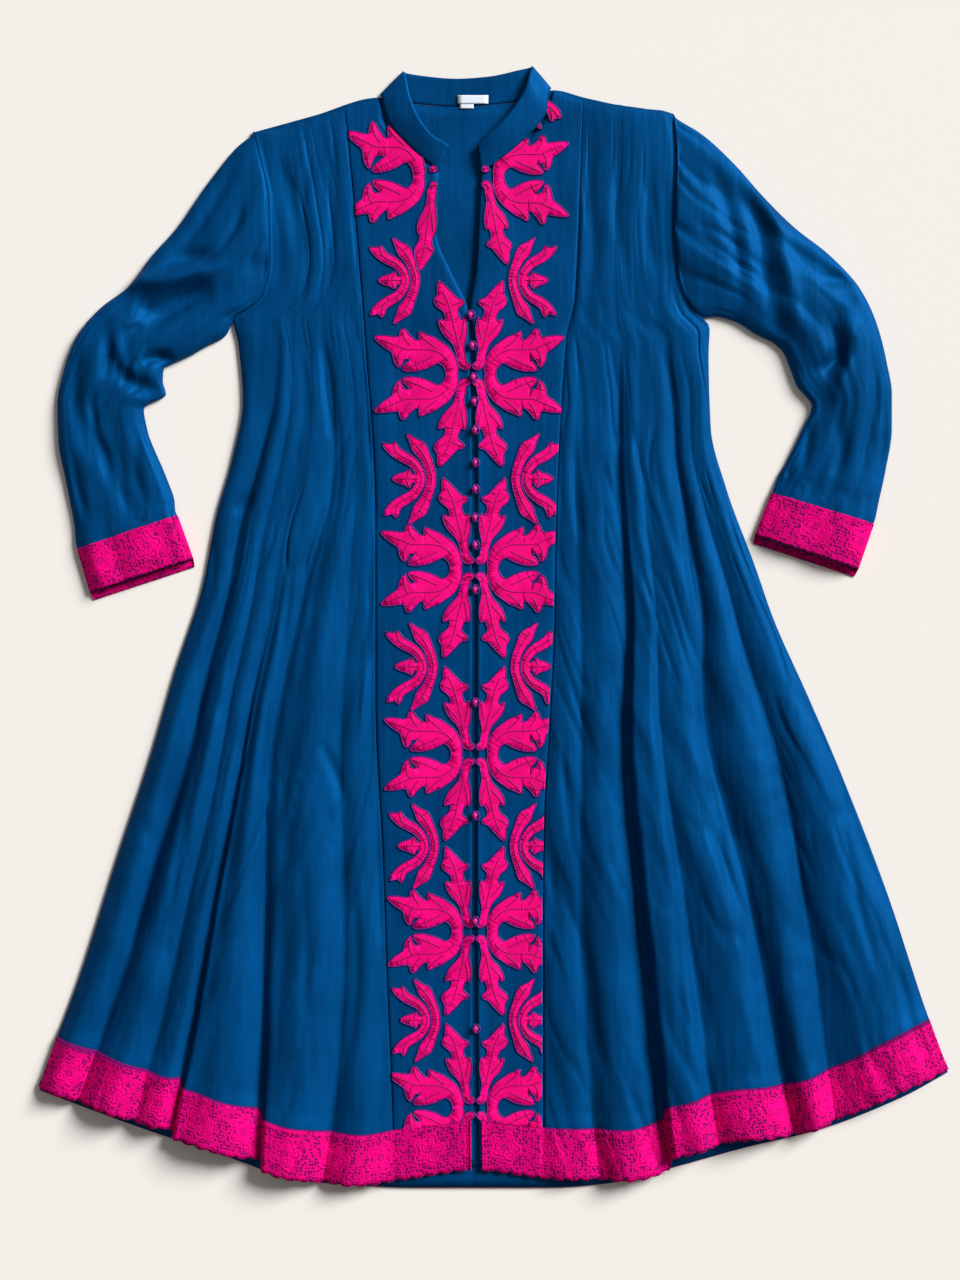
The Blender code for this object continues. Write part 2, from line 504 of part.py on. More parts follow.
def flat_solid(name, outlines, collection):
    """Union of flat prisms, a unit thick, one for each outline in millimetres."""
    made = []
    for number, outline in enumerate(outlines):
        curve = bpy.data.curves.new(f"{name}_{number}", "CURVE")
        curve.dimensions = "2D"
        curve.fill_mode = "BOTH"
        curve.extrude = 0.5 * MM
        spline = curve.splines.new("POLY")
        spline.points.add(len(outline) - 1)
        for point, (x, y) in zip(spline.points, outline):
            point.co = (x * MM, y * MM, 0, 1)
        spline.use_cyclic_u = True
        drawn = bpy.data.objects.new(curve.name, curve)
        bpy.context.scene.collection.objects.link(drawn)
        graph = bpy.context.evaluated_depsgraph_get()
        mesh = bpy.data.meshes.new_from_object(drawn.evaluated_get(graph))
        bpy.data.objects.remove(drawn)
        work = bmesh.new()
        work.from_mesh(mesh)
        bmesh.ops.remove_doubles(work, verts=work.verts, dist=1e-6)
        bmesh.ops.recalc_face_normals(work, faces=work.faces)
        work.to_mesh(mesh)
        work.free()
        helper = bpy.data.objects.new(f"{name}_{number}", mesh)
        helper.hide_render = True
        helper.display_type = "WIRE"
        collection.objects.link(helper)
        made.append(helper)
    first = made[0]
    for other in made[1:]:
        join = first.modifiers.new("join", "BOOLEAN")
        join.operation = "UNION"
        join.object = other
    graph = bpy.context.evaluated_depsgraph_get()
    mesh = bpy.data.meshes.new_from_object(first.evaluated_get(graph))
    mesh.name = name
    for helper in made:
        bpy.data.objects.remove(helper)
    return mesh


def motif_meshes(collection):
    """The big scroll with its two leaves, and the small sprig, pointing to +X from the centre line."""
    scroll = leaf(SCROLL_SPINE, SCROLL_LOBES)
    up_leaf = leaf(LEAF_SPINE, LEAF_LOBES)
    hanging_leaf = [(x, -y) for x, y in leaf(FIRST_LEAF_SPINE, LEAF_LOBES)]
    down_leaf = [(x, -y) for x, y in up_leaf]
    first = flat_solid("first_scroll", [scroll, hanging_leaf], collection)
    big = flat_solid("scroll", [scroll, up_leaf, down_leaf], collection)
    outer = leaf(SPRIG_OUTER_SPINE, ())
    inner = leaf(SPRIG_INNER_SPINE, SPRIG_INNER_LOBES)
    bud = leaf(SPRIG_BUD_SPINE, SPRIG_BUD_LOBES)
    small = flat_solid("sprig", [outer, inner, bud], collection)
    return first, big, small


def place_motif(name, template, side, y, scale, collection):
    """Copy of a flat motif on a centre front, cut off at the panel seam and the lace."""
    mesh = template.copy()
    work = bmesh.new()
    work.from_mesh(mesh)
    centre = float(smooth(LEFT_AXIS if side < 0 else RIGHT_AXIS, y))
    seam = LEFT_SEAM if side < 0 else RIGHT_SEAM
    for vert in work.verts:
        vert.co.x = (centre + side * (vert.co.x / MM) * scale) * MM
        vert.co.y = (y + vert.co.y / MM * scale) * MM
        level = CENTRE_TOP + SEAM_GAP + (APPLIQUE if vert.co.z > 0 else 0)
        vert.co.z = level * MM
    if side < 0:
        bmesh.ops.reverse_faces(work, faces=work.faces)
    low, high = y - 60, y + 60
    bottom = Vector((float(smooth(seam, low)) * MM, low * MM, 0))
    top = Vector((float(smooth(seam, high)) * MM, high * MM, 0))
    across = Vector((top.y - bottom.y, bottom.x - top.x, 0)).normalized() * side
    planes = [(bottom - across * SEAM_MARGIN * MM, across)]
    planes.append((Vector((0, APPLIQUE_END * MM, 0)), Vector((0, -1, 0))))
    for point, normal in planes:
        cut = bmesh.ops.bisect_plane(
            work, geom=[*work.verts, *work.edges, *work.faces], plane_co=point, plane_no=normal, clear_outer=True
        )
        rim = [item for item in cut["geom_cut"] if isinstance(item, bmesh.types.BMEdge)]
        if rim:
            bmesh.ops.holes_fill(work, edges=rim, sides=0)
    bmesh.ops.recalc_face_normals(work, faces=work.faces)
    work.to_mesh(mesh)
    work.free()
    return add_object(name, mesh, "applique", collection)


def neck_cutter(collection):
    """Prism over the neck hole, a little wider than the collar's base, which trims the first motifs."""
    left = [(x - 2, y) for y, x in LEFT_FRONT[:4]]
    right = [(x + 2, y) for y, x in RIGHT_FRONT[:5]]
    outline = [*left, (-51, 380), (-30, 330), (-21.5, 304), (-15, 330), (-12, 380), *right[::-1], (58, 540), (-109, 540)]
    points = [(x * MM, y * MM, z * MM) for z in (0, 12) for x, y in outline]
    count = len(outline)
    faces = [tuple(range(count))[::-1], tuple(range(count, 2 * count))]
    faces += [(i, (i + 1) % count, count + (i + 1) % count, count + i) for i in range(count)]
    mesh = bpy.data.meshes.new("neck_hole")
    mesh.from_pydata(points, [], faces)
    work = bmesh.new()
    work.from_mesh(mesh)
    bmesh.ops.recalc_face_normals(work, faces=work.faces)
    work.to_mesh(mesh)
    work.free()
    cutter = bpy.data.objects.new("neck_hole", mesh)
    cutter.hide_render = True
    cutter.display_type = "WIRE"
    collection.objects.link(cutter)
    return cutter


def applique(collection, cutters):
    first, big, small = motif_meshes(cutters)
    cutter = neck_cutter(cutters)
    for side, side_name in ((-1, "left"), (1, "right")):
        for number, (y, scale) in enumerate(zip(BIG_ROWS, MOTIF_SCALE), 1):
            template = first if number == 1 else big
            made = place_motif(f"scroll_{side_name}_{number}", template, side, y, scale, collection)
            if number == 1:
                trim = made.modifiers.new("neck", "BOOLEAN")
                trim.operation = "DIFFERENCE"
                trim.object = cutter
        for number, y in enumerate(SMALL_ROWS, 1):
            place_motif(f"sprig_{side_name}_{number}", small, side, y, MOTIF_SCALE[number - 1], collection)


def buttons(collection):
    for number, y in enumerate(BUTTON_ROWS, 1):
        mesh = bpy.data.meshes.new("button")
        work = bmesh.new()
        bmesh.ops.create_uvsphere(work, u_segments=8, v_segments=5, radius=BUTTON_RADIUS * MM)
        bmesh.ops.scale(work, vec=(1, 1, BUTTON_HEIGHT / 2 / BUTTON_RADIUS), verts=work.verts)
        work.to_mesh(mesh)
        work.free()
        made = add_object(f"button_{number:02d}", mesh, "covered_button", collection)
        x = float(smooth(CENTRE_LINE, y))
        z = CENTRE_TOP + SEAM_GAP + BUTTON_HEIGHT / 2
        made.location = (x * MM, y * MM, z * MM)


def neck_label(collection):
    mesh = flat_solid("neck_label", [NECK_LABEL], collection)
    for vert in mesh.vertices:
        vert.co.z = (LABEL_BOTTOM + (LABEL_CLOTH if vert.co.z > 0 else 0)) * MM
    add_object("neck_label", mesh, "label", collection)


def main():
    for old in list(bpy.data.objects):
        bpy.data.objects.remove(old)
    dress = bpy.data.collections.new("kaftan_dress")
    cutters = bpy.data.collections.new("cutters")
    cutters.hide_render = True
    for collection in (dress, cutters):
        bpy.context.scene.collection.children.link(collection)

    side_left = front_panel(LEFT_EDGE, LEFT_SEAM, (470, 493), LEFT_FOLDS)
    side_right = front_panel(RIGHT_EDGE, RIGHT_SEAM, (487, 500), RIGHT_FOLDS)[:, ::-1]
    back = back_panel()
    centre_left = centre_panel(LEFT_SEAM, LEFT_FRONT, (493, 502), 470, side_left[-1, 0, 1])
    centre_right = centre_panel(RIGHT_SEAM, RIGHT_FRONT, (500, 510), 487, side_right[-1, -1, 1])[:, ::-1]
    sheet("side_front_left", side_left, CLOTH, "satin", dress)
    sheet("side_front_right", side_right, CLOTH, "satin", dress)
    sheet("centre_front_left", centre_left, CLOTH, "satin", dress)
    sheet("centre_front_right", centre_right, CLOTH, "satin", dress)
    sheet("back_panel", back, BACK_CLOTH, "satin", dress)
    sheet("hem_lace_back", back_lace(), LACE, "lace", dress)
    left_lace = lace_over([side_left, centre_left])
    right_lace = lace_over([centre_right, side_right])
    left_lace[:, -1, 0] -= PLACKET_HALF
    right_lace[:, 0, 0] += PLACKET_HALF
    sheet("hem_lace_front_left", left_lace, LACE, "lace", dress)
    sheet("hem_lace_front_right", right_lace, LACE, "lace", dress)
    sheet("placket_strip", placket_strip(), STRIP, "satin", dress)
    sheet("collar_band", collar(), COLLAR_CLOTH, "satin", dress, offset=0)
    for name, rows, cuff, edges, folds, outward_sign in (
        ("left", LEFT_SLEEVE, LEFT_CUFF, (back[:, 0], side_left[:, 0]), LEFT_SLEEVE_FOLDS, -1),
        ("right", RIGHT_SLEEVE, RIGHT_CUFF, (back[:, -1], side_right[:, -1]), RIGHT_SLEEVE_FOLDS, 1),
    ):
        grid = sleeve(rows, cuff, edges, folds, outward_sign)
        if outward_sign > 0:
            grid = grid[:, ::-1]
        sheet(f"sleeve_{name}", grid, CLOTH, "satin", dress, ring=True)
        sheet(f"cuff_lace_{name}", cuff_lace(grid), LACE, "lace", dress, ring=True)
    applique(dress, cutters)
    buttons(dress)
    neck_label(dress)


main()
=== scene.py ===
"""Kaftan dress of blue satin, laid flat and seen from above: its cloth, lace, applique and buttons.

The tables are in millimetres, in the frame's axes: the neck points to +Y, the hem to -Y, the floor is z = 0.
Left and right are those of a viewer who looks down on the dress.
"""

import math

import bmesh
import bpy
import numpy as np
from bpy.props import FloatProperty, FloatVectorProperty, IntProperty, PointerProperty
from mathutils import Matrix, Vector
from mathutils.geometry import delaunay_2d_cdt


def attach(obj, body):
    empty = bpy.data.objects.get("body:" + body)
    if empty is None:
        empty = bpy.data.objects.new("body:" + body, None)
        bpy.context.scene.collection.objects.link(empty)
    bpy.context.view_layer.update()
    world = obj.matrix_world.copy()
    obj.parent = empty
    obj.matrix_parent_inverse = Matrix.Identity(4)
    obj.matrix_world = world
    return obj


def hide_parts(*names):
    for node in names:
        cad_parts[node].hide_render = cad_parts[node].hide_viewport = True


bl_info = {
    "name": "Kaftan dress",
    "version": (1, 0, 0),
    "blender": (4, 5, 0),
    "location": "3D View > Sidebar > Kaftan",
    "description": "Builds the cloth, lace, applique and buttons of a kaftan dress that is laid flat",
    "category": "Add Mesh",
}

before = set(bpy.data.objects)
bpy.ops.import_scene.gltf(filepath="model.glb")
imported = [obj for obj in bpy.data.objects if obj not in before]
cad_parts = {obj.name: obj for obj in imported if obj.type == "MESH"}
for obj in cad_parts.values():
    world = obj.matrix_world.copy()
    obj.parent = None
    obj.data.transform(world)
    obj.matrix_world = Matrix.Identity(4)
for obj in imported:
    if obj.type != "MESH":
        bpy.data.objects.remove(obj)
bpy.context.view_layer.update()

MM = 0.001

# Heights of the upper side of the layers
BACK_TOP = 1.5
EDGE_TOP = 3.0
CENTRE_TOP = 4.3
# Heights of the lace bands above the hem, and how far the cloth under them rises over how long a slope
LACE_BAND = 49.0
BACK_LACE_BAND = 44.0
LACE_RISE = 1.3
LACE_SLOPE = 13.0
# Half of the gap at a panel seam, and the height in y where the armhole ends
SEAM_HALF_GAP = 0.15
UNDERARM = 288

# Edge of the body on each side, from the shoulder along the armhole and the side seam to the hem: y, x
LEFT_EDGE = (
    (470, -227), (440, -219), (406, -212), (349, -211), (318, -217), (305, -227), (293, -246),
    (268, -241), (216, -237), (160, -247), (106, -262), (39, -275), (-41, -301), (-117, -323),
    (-221, -357), (-329, -391), (-389, -413), (-437, -430),
)
RIGHT_EDGE = (
    (487, 172), (444, 175), (382, 172), (330, 177), (305, 187), (284, 206), (260, 205), (190, 207),
    (131, 222), (61, 248), (7, 267), (-67, 300), (-137, 330), (-251, 374), (-366, 412), (-420, 432),
)
# Seams between the centre fronts and the side fronts: y, x
LEFT_SEAM = (
    (494, -140), (273, -121), (102, -111), (-69, -111), (-221, -104), (-335, -100), (-458, -95),
    (-530, -93),
)
RIGHT_SEAM = (
    (503, 86), (311, 78), (273, 70), (83, 60), (15, 59), (-95, 54), (-181, 49), (-259, 48), (-530, 48),
)
# Inner edges of the centre fronts: neckline, V opening and centre line: y, x
LEFT_FRONT = (
    (503, -109), (478, -101), (451, -78), (431, -50), (373, -52), (338, -39), (303, -23), (273, -20),
    (157, -17), (-69, -17), (-259, -17), (-530, -15),
)
RIGHT_FRONT = (
    (511, 58), (487, 52), (461, 31), (441, 6), (429, -12), (391, -14), (338, -17), (303, -22),
    (273, -20), (157, -17), (-69, -17), (-259, -17), (-530, -15),
)
CENTRE_LINE = ((303, -22), (273, -20), (157, -17), (-69, -17), (-259, -17), (-530, -15))
# Lower edge of the lace on the front, from left to right. It jumps where one fold lies over the next: x, y
FRONT_HEM = (
    (-430, -437), (-348, -464), (-318, -473), (-305.5, -474), (-304.5, -482), (-285, -488),
    (-245, -500), (-219.5, -505), (-218.5, -513), (-180, -523), (-126, -528), (-79, -523), (-17, -515),
    (59, -523), (125, -523), (169, -514), (170, -502), (184, -498), (241, -484), (276, -482),
    (336, -463), (389, -438), (432, -420),
)
BACK_HEM = (
    (-429, -439), (-346, -470), (-240, -506), (-187, -524), (-126, -529), (-79, -531), (55, -531),
    (125, -525), (171, -512), (240, -493), (310, -476), (389, -445), (431, -422),
)
# Upper edge of the back: left shoulder, back neck and right shoulder: x, y
BACK_TOP_EDGE = (
    (-228, 470), (-170, 486), (-109, 503), (-76, 497), (-35, 494), (-4, 496), (22, 499), (58, 510),
    (87, 503), (124, 495), (172, 487),
)
# Height of the upper side along each armhole: y, z
ARMHOLE_HEIGHT = ((480, 3.0), (450, 6.0), (390, 8.0), (330, 7.0), (302, 4.5), (288, 3.0))

# Levels down the skirt, as shares of the way from the shoulder to the hem
LEVELS = (0.0, 0.18, 0.33, 0.47, 0.62, 0.77, 1.0)
# Fold lines, from the side seam to the panel seam. Each has its share of the way across at the levels
# (shoulder, bust, waist, hip, thigh, knee, hem), then its height there.
LEFT_FOLDS = (
    ("crest", (0.10, 0.10, 0.08, 0.08, 0.07, 0.07, 0.05), (4.5, 6.0, 6.0, 6.5, 7.0, 8.0, 8.0)),
    ("trough", (0.30, 0.34, 0.20, 0.15, 0.16, 0.14, 0.11), (4.0, 4.5, 3.8, 3.8, 3.8, 3.6, 3.4)),
    ("crest", (0.40, 0.40, 0.27, 0.24, 0.24, 0.22, 0.20), (5.5, 6.5, 8.0, 9.0, 10.0, 11.0, 11.5)),
    ("trough", (0.44, 0.44, 0.34, 0.29, 0.29, 0.28, 0.27), (5.2, 6.0, 6.0, 6.5, 6.5, 6.5, 6.0)),
    ("crest", (0.48, 0.48, 0.40, 0.35, 0.34, 0.34, 0.34), (6.0, 7.0, 7.0, 7.5, 8.5, 9.5, 10.0)),
    ("trough", (0.53, 0.53, 0.46, 0.41, 0.385, 0.375, 0.375), (5.0, 6.5, 6.5, 6.0, 5.0, 4.0, 3.6)),
    ("lip", (0.56, 0.56, 0.49, 0.43, 0.40, 0.387, 0.385), (5.5, 6.8, 6.8, 6.6, 7.4, 8.6, 9.6)),
    ("crest", (0.60, 0.60, 0.54, 0.47, 0.44, 0.46, 0.48), (6.0, 7.0, 7.5, 8.0, 9.5, 11.5, 12.5)),
    ("trough", (0.68, 0.68, 0.72, 0.56, 0.50, 0.56, 0.625), (4.4, 5.0, 4.5, 3.8, 3.6, 3.6, 3.4)),
    ("lip", (0.71, 0.71, 0.75, 0.61, 0.56, 0.60, 0.635), (5.0, 5.4, 5.2, 6.0, 6.6, 7.6, 10.0)),
    ("crest", (0.77, 0.77, 0.80, 0.70, 0.68, 0.70, 0.70), (5.4, 6.0, 6.5, 7.5, 9.0, 10.0, 11.5)),
    ("trough", (0.85, 0.85, 0.87, 0.84, 0.83, 0.85, 0.80), (4.6, 5.5, 5.5, 5.5, 4.8, 4.5, 4.0)),
    ("crest", (0.93, 0.93, 0.94, 0.93, 0.92, 0.94, 0.90), (5.0, 6.0, 6.0, 6.0, 6.5, 7.5, 9.0)),
)
RIGHT_FOLDS = (
    ("crest", (0.06, 0.06, 0.07, 0.07, 0.08, 0.12, 0.14), (4.5, 6.0, 6.0, 6.5, 7.0, 8.0, 9.0)),
    ("trough", (0.13, 0.13, 0.13, 0.135, 0.15, 0.21, 0.28), (4.4, 6.0, 5.5, 4.5, 3.8, 3.8, 3.6)),
    ("crest", (0.22, 0.22, 0.18, 0.20, 0.27, 0.29, 0.33), (5.6, 7.0, 7.0, 8.0, 9.0, 10.0, 10.0)),
    ("trough", (0.30, 0.30, 0.23, 0.27, 0.39, 0.37, 0.38), (4.4, 4.8, 4.2, 3.8, 3.8, 3.8, 3.8)),
    ("crest", (0.40, 0.40, 0.36, 0.39, 0.48, 0.47, 0.48), (5.8, 7.0, 7.5, 8.5, 9.5, 10.5, 11.0)),
    ("trough", (0.50, 0.50, 0.47, 0.50, 0.57, 0.57, 0.57), (5.2, 6.5, 6.5, 7.0, 7.5, 7.5, 6.5)),
    ("crest", (0.56, 0.56, 0.52, 0.54, 0.61, 0.61, 0.62), (6.0, 7.0, 8.0, 9.0, 11.0, 12.0, 12.0)),
    ("lip", (0.59, 0.59, 0.57, 0.60, 0.67, 0.675, 0.675), (5.0, 6.0, 6.6, 8.6, 10.4, 11.0, 11.4)),
    ("trough", (0.62, 0.62, 0.60, 0.63, 0.70, 0.70, 0.685), (4.4, 4.5, 4.0, 3.6, 3.4, 3.4, 3.3)),
    ("crest", (0.74, 0.74, 0.74, 0.76, 0.80, 0.79, 0.79), (5.6, 6.0, 7.0, 7.5, 8.0, 9.0, 9.5)),
    ("trough", (0.90, 0.90, 0.89, 0.87, 0.87, 0.885, 0.86), (4.8, 5.5, 5.0, 4.8, 4.8, 4.5, 4.0)),
    ("crest", (0.95, 0.95, 0.945, 0.94, 0.94, 0.95, 0.93), (5.0, 6.0, 6.0, 6.0, 6.0, 7.0, 8.0)),
)
# How much deeper the folds of the shown cloth are at the hem than their table's, as a share, and how much
# deeper its creases are on the side fronts and on the sleeves
FOLD_GAIN = 1.05
CREASE_GAIN = 1.7
SLEEVE_CREASE_GAIN = 1.6
# Smaller creases of the side fronts: depth (a ridge is negative), half width, then the points x, y
LEFT_CREASES = (
    (1.5, 7, ((-206, 452), (-196, 420), (-186, 380), (-184, 350))),
    (1.1, 5, ((-172, 448), (-180, 400), (-176, 350), (-182, 300))),
    (0.9, 5, ((-150, 440), (-152, 380), (-158, 320))),
    (2.0, 5, ((-161, 272), (-156, 230), (-151, 175))),
    (1.8, 5, ((-228, 125), (-236, 116), (-246, 112))),
    (-1.4, 3, ((-119, -37), (-122, -70), (-125, -100))),
    (1.6, 5, ((-164, -107), (-150, -135), (-141, -165))),
    (1.6, 4, ((-105, -183), (-105, -259), (-100, -336))),
    (1.2, 4, ((-190, 60), (-196, 0), (-200, -60))),
    (1.4, 5, ((-300, -120), (-312, -180), (-330, -250))),
    (1.3, 4, ((-262, -60), (-280, -140), (-300, -240), (-310, -330))),
    (1.4, 5, ((-180, -220), (-176, -300), (-178, -380))),
    (1.5, 5, ((-130, -250), (-128, -320), (-134, -400))),
    (1.2, 4, ((-352, -300), (-365, -360), (-380, -410))),
)
RIGHT_CREASES = (
    (1.3, 6, ((95, 470), (92, 420), (96, 360), (90, 300))),
    (0.9, 5, ((120, 460), (118, 400), (126, 330))),
    (1.3, 7, ((150, 440), (148, 380), (156, 330))),
    (1.8, 5, ((76, 175), (80, 117), (86, 78))),
    (1.6, 5, ((84, -258), (96, -374), (104, -424))),
    (1.4, 4, ((66, -100), (70, -160), (78, -220))),
    (1.2, 4, ((180, 120), (186, 60), (196, 0))),
    (1.4, 5, ((330, -180), (344, -250), (360, -320))),
    (1.5, 5, ((200, -120), (214, -190), (226, -260))),
    (1.3, 4, ((266, -120), (284, -200), (300, -280))),
    (1.4, 5, ((170, -240), (176, -320), (180, -400))),
    (1.2, 4, ((380, -300), (392, -360), (400, -400))),
)

# Sleeve sections from the armhole to the wrist: outer edge x, y, inner edge x, y, height
LEFT_SLEEVE = (
    (-228, 471, -247, 290, 9.0), (-246, 459, -257, 287, 11.0), (-270, 424, -265, 276, 13.0),
    (-299, 380, -277, 268, 14.0), (-323, 353, -287, 259, 15.0), (-346, 323, -300, 252, 15.5),
    (-372, 303, -312, 245, 16.0), (-394, 277, -313, 234, 16.0), (-406, 247, -310, 221, 15.0),
    (-413, 211, -331, 207, 13.0), (-412, 176, -327, 185, 13.0), (-405, 139, -311, 146, 12.0),
    (-397, 97, -302, 121, 11.5),
)
RIGHT_SLEEVE = (
    (173, 487, 207, 294, 9.0), (200, 473, 217, 294, 11.0), (228, 443, 226, 295, 13.0),
    (255, 411, 239, 290, 14.0), (286, 380, 251, 279, 15.0), (320, 353, 265, 271, 15.5),
    (349, 321, 276, 261, 16.0), (365, 287, 282, 247, 16.0), (374, 252, 289, 229, 15.0),
    (379, 221, 303, 210, 14.0), (379, 188, 294, 188, 13.0), (373, 149, 278, 155, 12.0),
    (367, 121, 271, 143, 11.5),
)
# Lace cuffs: outer and inner corner at the top, then at the mouth
LEFT_CUFF = ((-395, 79), (-301, 111), (-381, 32), (-284, 64))
RIGHT_CUFF = ((363, 103), (267, 132), (346, 54), (249, 86))
CUFF_HEIGHT = 12.0
CUFF_UNDER_LAYER = 8.0
# Rings that the satin ends before the lace at the mouth, and that the lace starts below the cuff's top
CUFF_SATIN_SHORT = 3
CUFF_LACE_START = 8
# Gap at the armhole, distance between two sections, and half of the way round the sleeve
ARMHOLE_GAP = 0.3
SECTION_LENGTH = 34.0
HALF_GIRTH = 115.0
# How far the first sections bend with the armhole, and the share across near the outer edge that doesn't
SLEEVE_BOW = (1.0, 0.8, 0.5, 0.22, 0.05, 0.0)
OUTER_SHARE = 0.2
# Creases of the upper side of each sleeve, as for the side fronts
LEFT_SLEEVE_CREASES = (
    (8.0, 14, ((-262, 322), (-290, 312), (-318, 300), (-342, 306))),
    (4.0, 8, ((-257, 349), (-284, 350), (-300, 344))),
    (-4.5, 8, ((-250, 340), (-280, 336), (-312, 328), (-344, 328), (-366, 308))),
    (4.5, 6, ((-300, 250), (-316, 256), (-332, 250))),
    (4.0, 7, ((-366, 232), (-362, 268), (-346, 290))),
    (-2.5, 6, ((-352, 300), (-356, 276), (-350, 252), (-336, 236))),
    (4.5, 9, ((-308, 222), (-326, 226), (-345, 236), (-352, 262))),
    (2.6, 6, ((-244, 440), (-262, 404), (-288, 366), (-312, 338))),
    (2.4, 5, ((-234, 400), (-246, 372), (-262, 352))),
    (3.0, 8, ((-392, 260), (-394, 224), (-386, 180), (-368, 150))),
    (2.4, 6, ((-379, 224), (-378, 190), (-366, 161), (-356, 120))),
    (2.0, 6, ((-336, 190), (-338, 150), (-330, 120))),
    (2.0, 5, ((-398, 170), (-392, 130), (-384, 104))),
    (1.8, 5, ((-352, 170), (-350, 130), (-344, 108))),
)
RIGHT_SLEEVE_CREASES = (
    (4.0, 9, ((229, 430), (253, 374), (260, 324), (276, 270))),
    (-3.0, 7, ((240, 440), (268, 384), (280, 330), (290, 280))),
    (3.0, 7, ((206, 440), (222, 400), (232, 350), (236, 310))),
    (4.5, 8, ((332, 306), (322, 286), (328, 258), (306, 222))),
    (4.0, 7, ((341, 276), (334, 262), (320, 250), (300, 240))),
    (-2.5, 6, ((344, 296), (338, 270), (332, 240), (324, 210))),
    (3.0, 7, ((350, 340), (330, 330), (306, 330))),
    (2.6, 6, ((360, 262), (362, 220), (356, 180), (348, 140))),
    (2.4, 6, ((330, 200), (330, 170), (322, 140))),
    (2.0, 5, ((300, 196), (298, 170), (292, 146))),
    (2.4, 6, ((280, 420), (300, 390), (316, 366))),
    (2.0, 5, ((372, 210), (370, 170), (362, 134))),
)

# Collar from its left front end round the back to its right front end: base x, y, z, then top x, y, z
COLLAR = (
    (-51, 433, 4.6, -41, 457, 7.5), (-76, 454, 5.0, -57, 466, 10.0), (-98, 479, 5.2, -70, 483, 11.0),
    (-103, 494, 4.8, -78, 503, 10.0), (-104, 501, 4.2, -82, 521, 6.5), (-106, 505, 2.4, -84, 527, 3.0),
    (-102, 503, 0.8, -80, 526, 0.8), (-76, 498, 0.8, -68, 524, 1.0), (-35, 494.5, 0.8, -35, 521, 1.4),
    (-4, 496.5, 0.8, -4, 523, 1.4), (22, 499.5, 0.8, 24, 529, 1.2), (50, 508.5, 0.8, 33, 531, 0.8),
    (55, 511, 2.4, 37, 532, 3.0), (53, 506, 4.2, 35, 525, 6.5), (51, 489, 5.0, 31, 510, 10.0),
    (30, 463, 5.2, 14, 484, 11.0), (6, 443, 5.3, -2, 468, 10.0), (-11, 431, 4.9, -14, 457, 7.5),
)

# Width, length and height of a button as shares of a ball's, and the y of each button
BUTTON_SHAPE = (0.86, 1.08, 0.62)
BUTTON_ROWS = (296, 267, 237, 214, 187, 156, 131, 104, 78, 36, -71, -178, -278, -380)
LABEL = ((-33, 505), (-4, 505), (-4, 497), (-33, 497))
SIZE_TAB = ((-31, 498), (-18, 498), (-18, 492.5), (-31, 492.5))

# Blades of the applique leaves, pointing away from the centre line: x, y and half width along each spine
SCROLL_ARM = (
    ((17, 0, 4.6), (18.5, 8, 5), (22.5, 15, 6.4), (30, 21, 7.8), (38, 23.2, 7.6), (47, 23.4, 6.8),
     (57, 23.4, 7.2), (67, 27, 6.2), (77, 31, 4.6), (84, 34, 2.4), (88, 35.5, 0.8)),
    ((27, 21, 5), (36, 28, 6), (43, 34, 3.8), (47.5, 41, 0.5)),
    ((51, 24, 4), (58, 31, 5), (61, 37, 3.6), (62, 44.5, 1.5)),
    ((58, 27, 4), (64.5, 21, 5.2), (66, 13, 3.6), (64.5, 5, 0.6)),
    ((30, 19, 5), (36, 16, 6), (43, 12.6, 6.2), (51, 9, 5.2), (58, 6.2, 3.4), (63, 3.8, 0.5)),
)
UP_LEAF = (
    ((8, 13, 3), (10.5, 22, 3.2), (12.5, 33, 4.6), (15.5, 45, 6.4), (18, 57, 4.6), (21, 68, 6.6),
     (26, 79, 4.2), (30, 89, 0.8)),
    ((11, 27, 3.6), (8.5, 38, 3.6), (7, 47, 2.4), (6, 54, 0.5)),
    ((13, 32, 4), (20, 40, 4.6), (26, 47, 3), (30, 53, 0.5)),
    ((20, 63, 4.5), (12, 67, 3.4), (5.5, 69, 1.3)),
    ((20, 64, 5), (28, 68, 4.6), (34, 72.5, 1.2)),
    ((1.2, 10.5, 1.6), (3.8, 7.2, 3), (8, 9, 3.4), (10, 16, 3.2)),
)
KNOB = (((1.2, 10.5, 1.6), (3.8, 7.2, 3), (8, 9.5, 2.6)),)
SPRIG_BACK = (
    ((62, 44, 0.4), (56, 36, 2.6), (50, 29, 5.6), (43.5, 18, 3.6), (38.5, 0, 3.5), (43.5, -18, 3.6),
     (49, -29, 5.6), (55, -37, 2.6), (61, -45, 0.4)),
    ((54, 28, 2.4), (48, 32, 2.6), (45.5, 34.5, 1.6)),
    ((53, -29, 2.4), (47, -32, 2.6), (45.5, -35, 1.2)),
)
SPRIG_FRONT = (
    ((84, 34, 0.5), (76, 28, 3.4), (66, 21.5, 4.2), (55, 15, 3.6), (47.5, 0, 3.3), (55, -15, 3.6),
     (66, -21.5, 4.2), (76, -29, 3.4), (83, -36, 0.5)),
    ((68, 22, 3), (72, 29, 3), (73, 36, 0.5)),
    ((68, -22, 3), (71, -30, 3), (71, -38, 0.5)),
    ((46, 0, 3), (54, 0, 2.6), (61, 0, 5), (68, 0, 4), (76, 0, 0.5)),
    ((62, 0, 3), (60, 5, 2.2), (58.5, 9.5, 0.5)),
    ((62, 0, 3), (60, -5, 2.2), (58.5, -9.5, 0.5)),
)
SHOULDER_BITS = (
    ((44, -24, 1), (49, -29, 5), (55, -37, 2.6), (61, -45, 0.4)),
    ((60, -18, 4), (68, -22, 4.4), (76, -29, 3.4), (80, -34, 0.5)),
    ((68, -22, 3), (71, -30, 3), (71, -38, 0.5)),
)
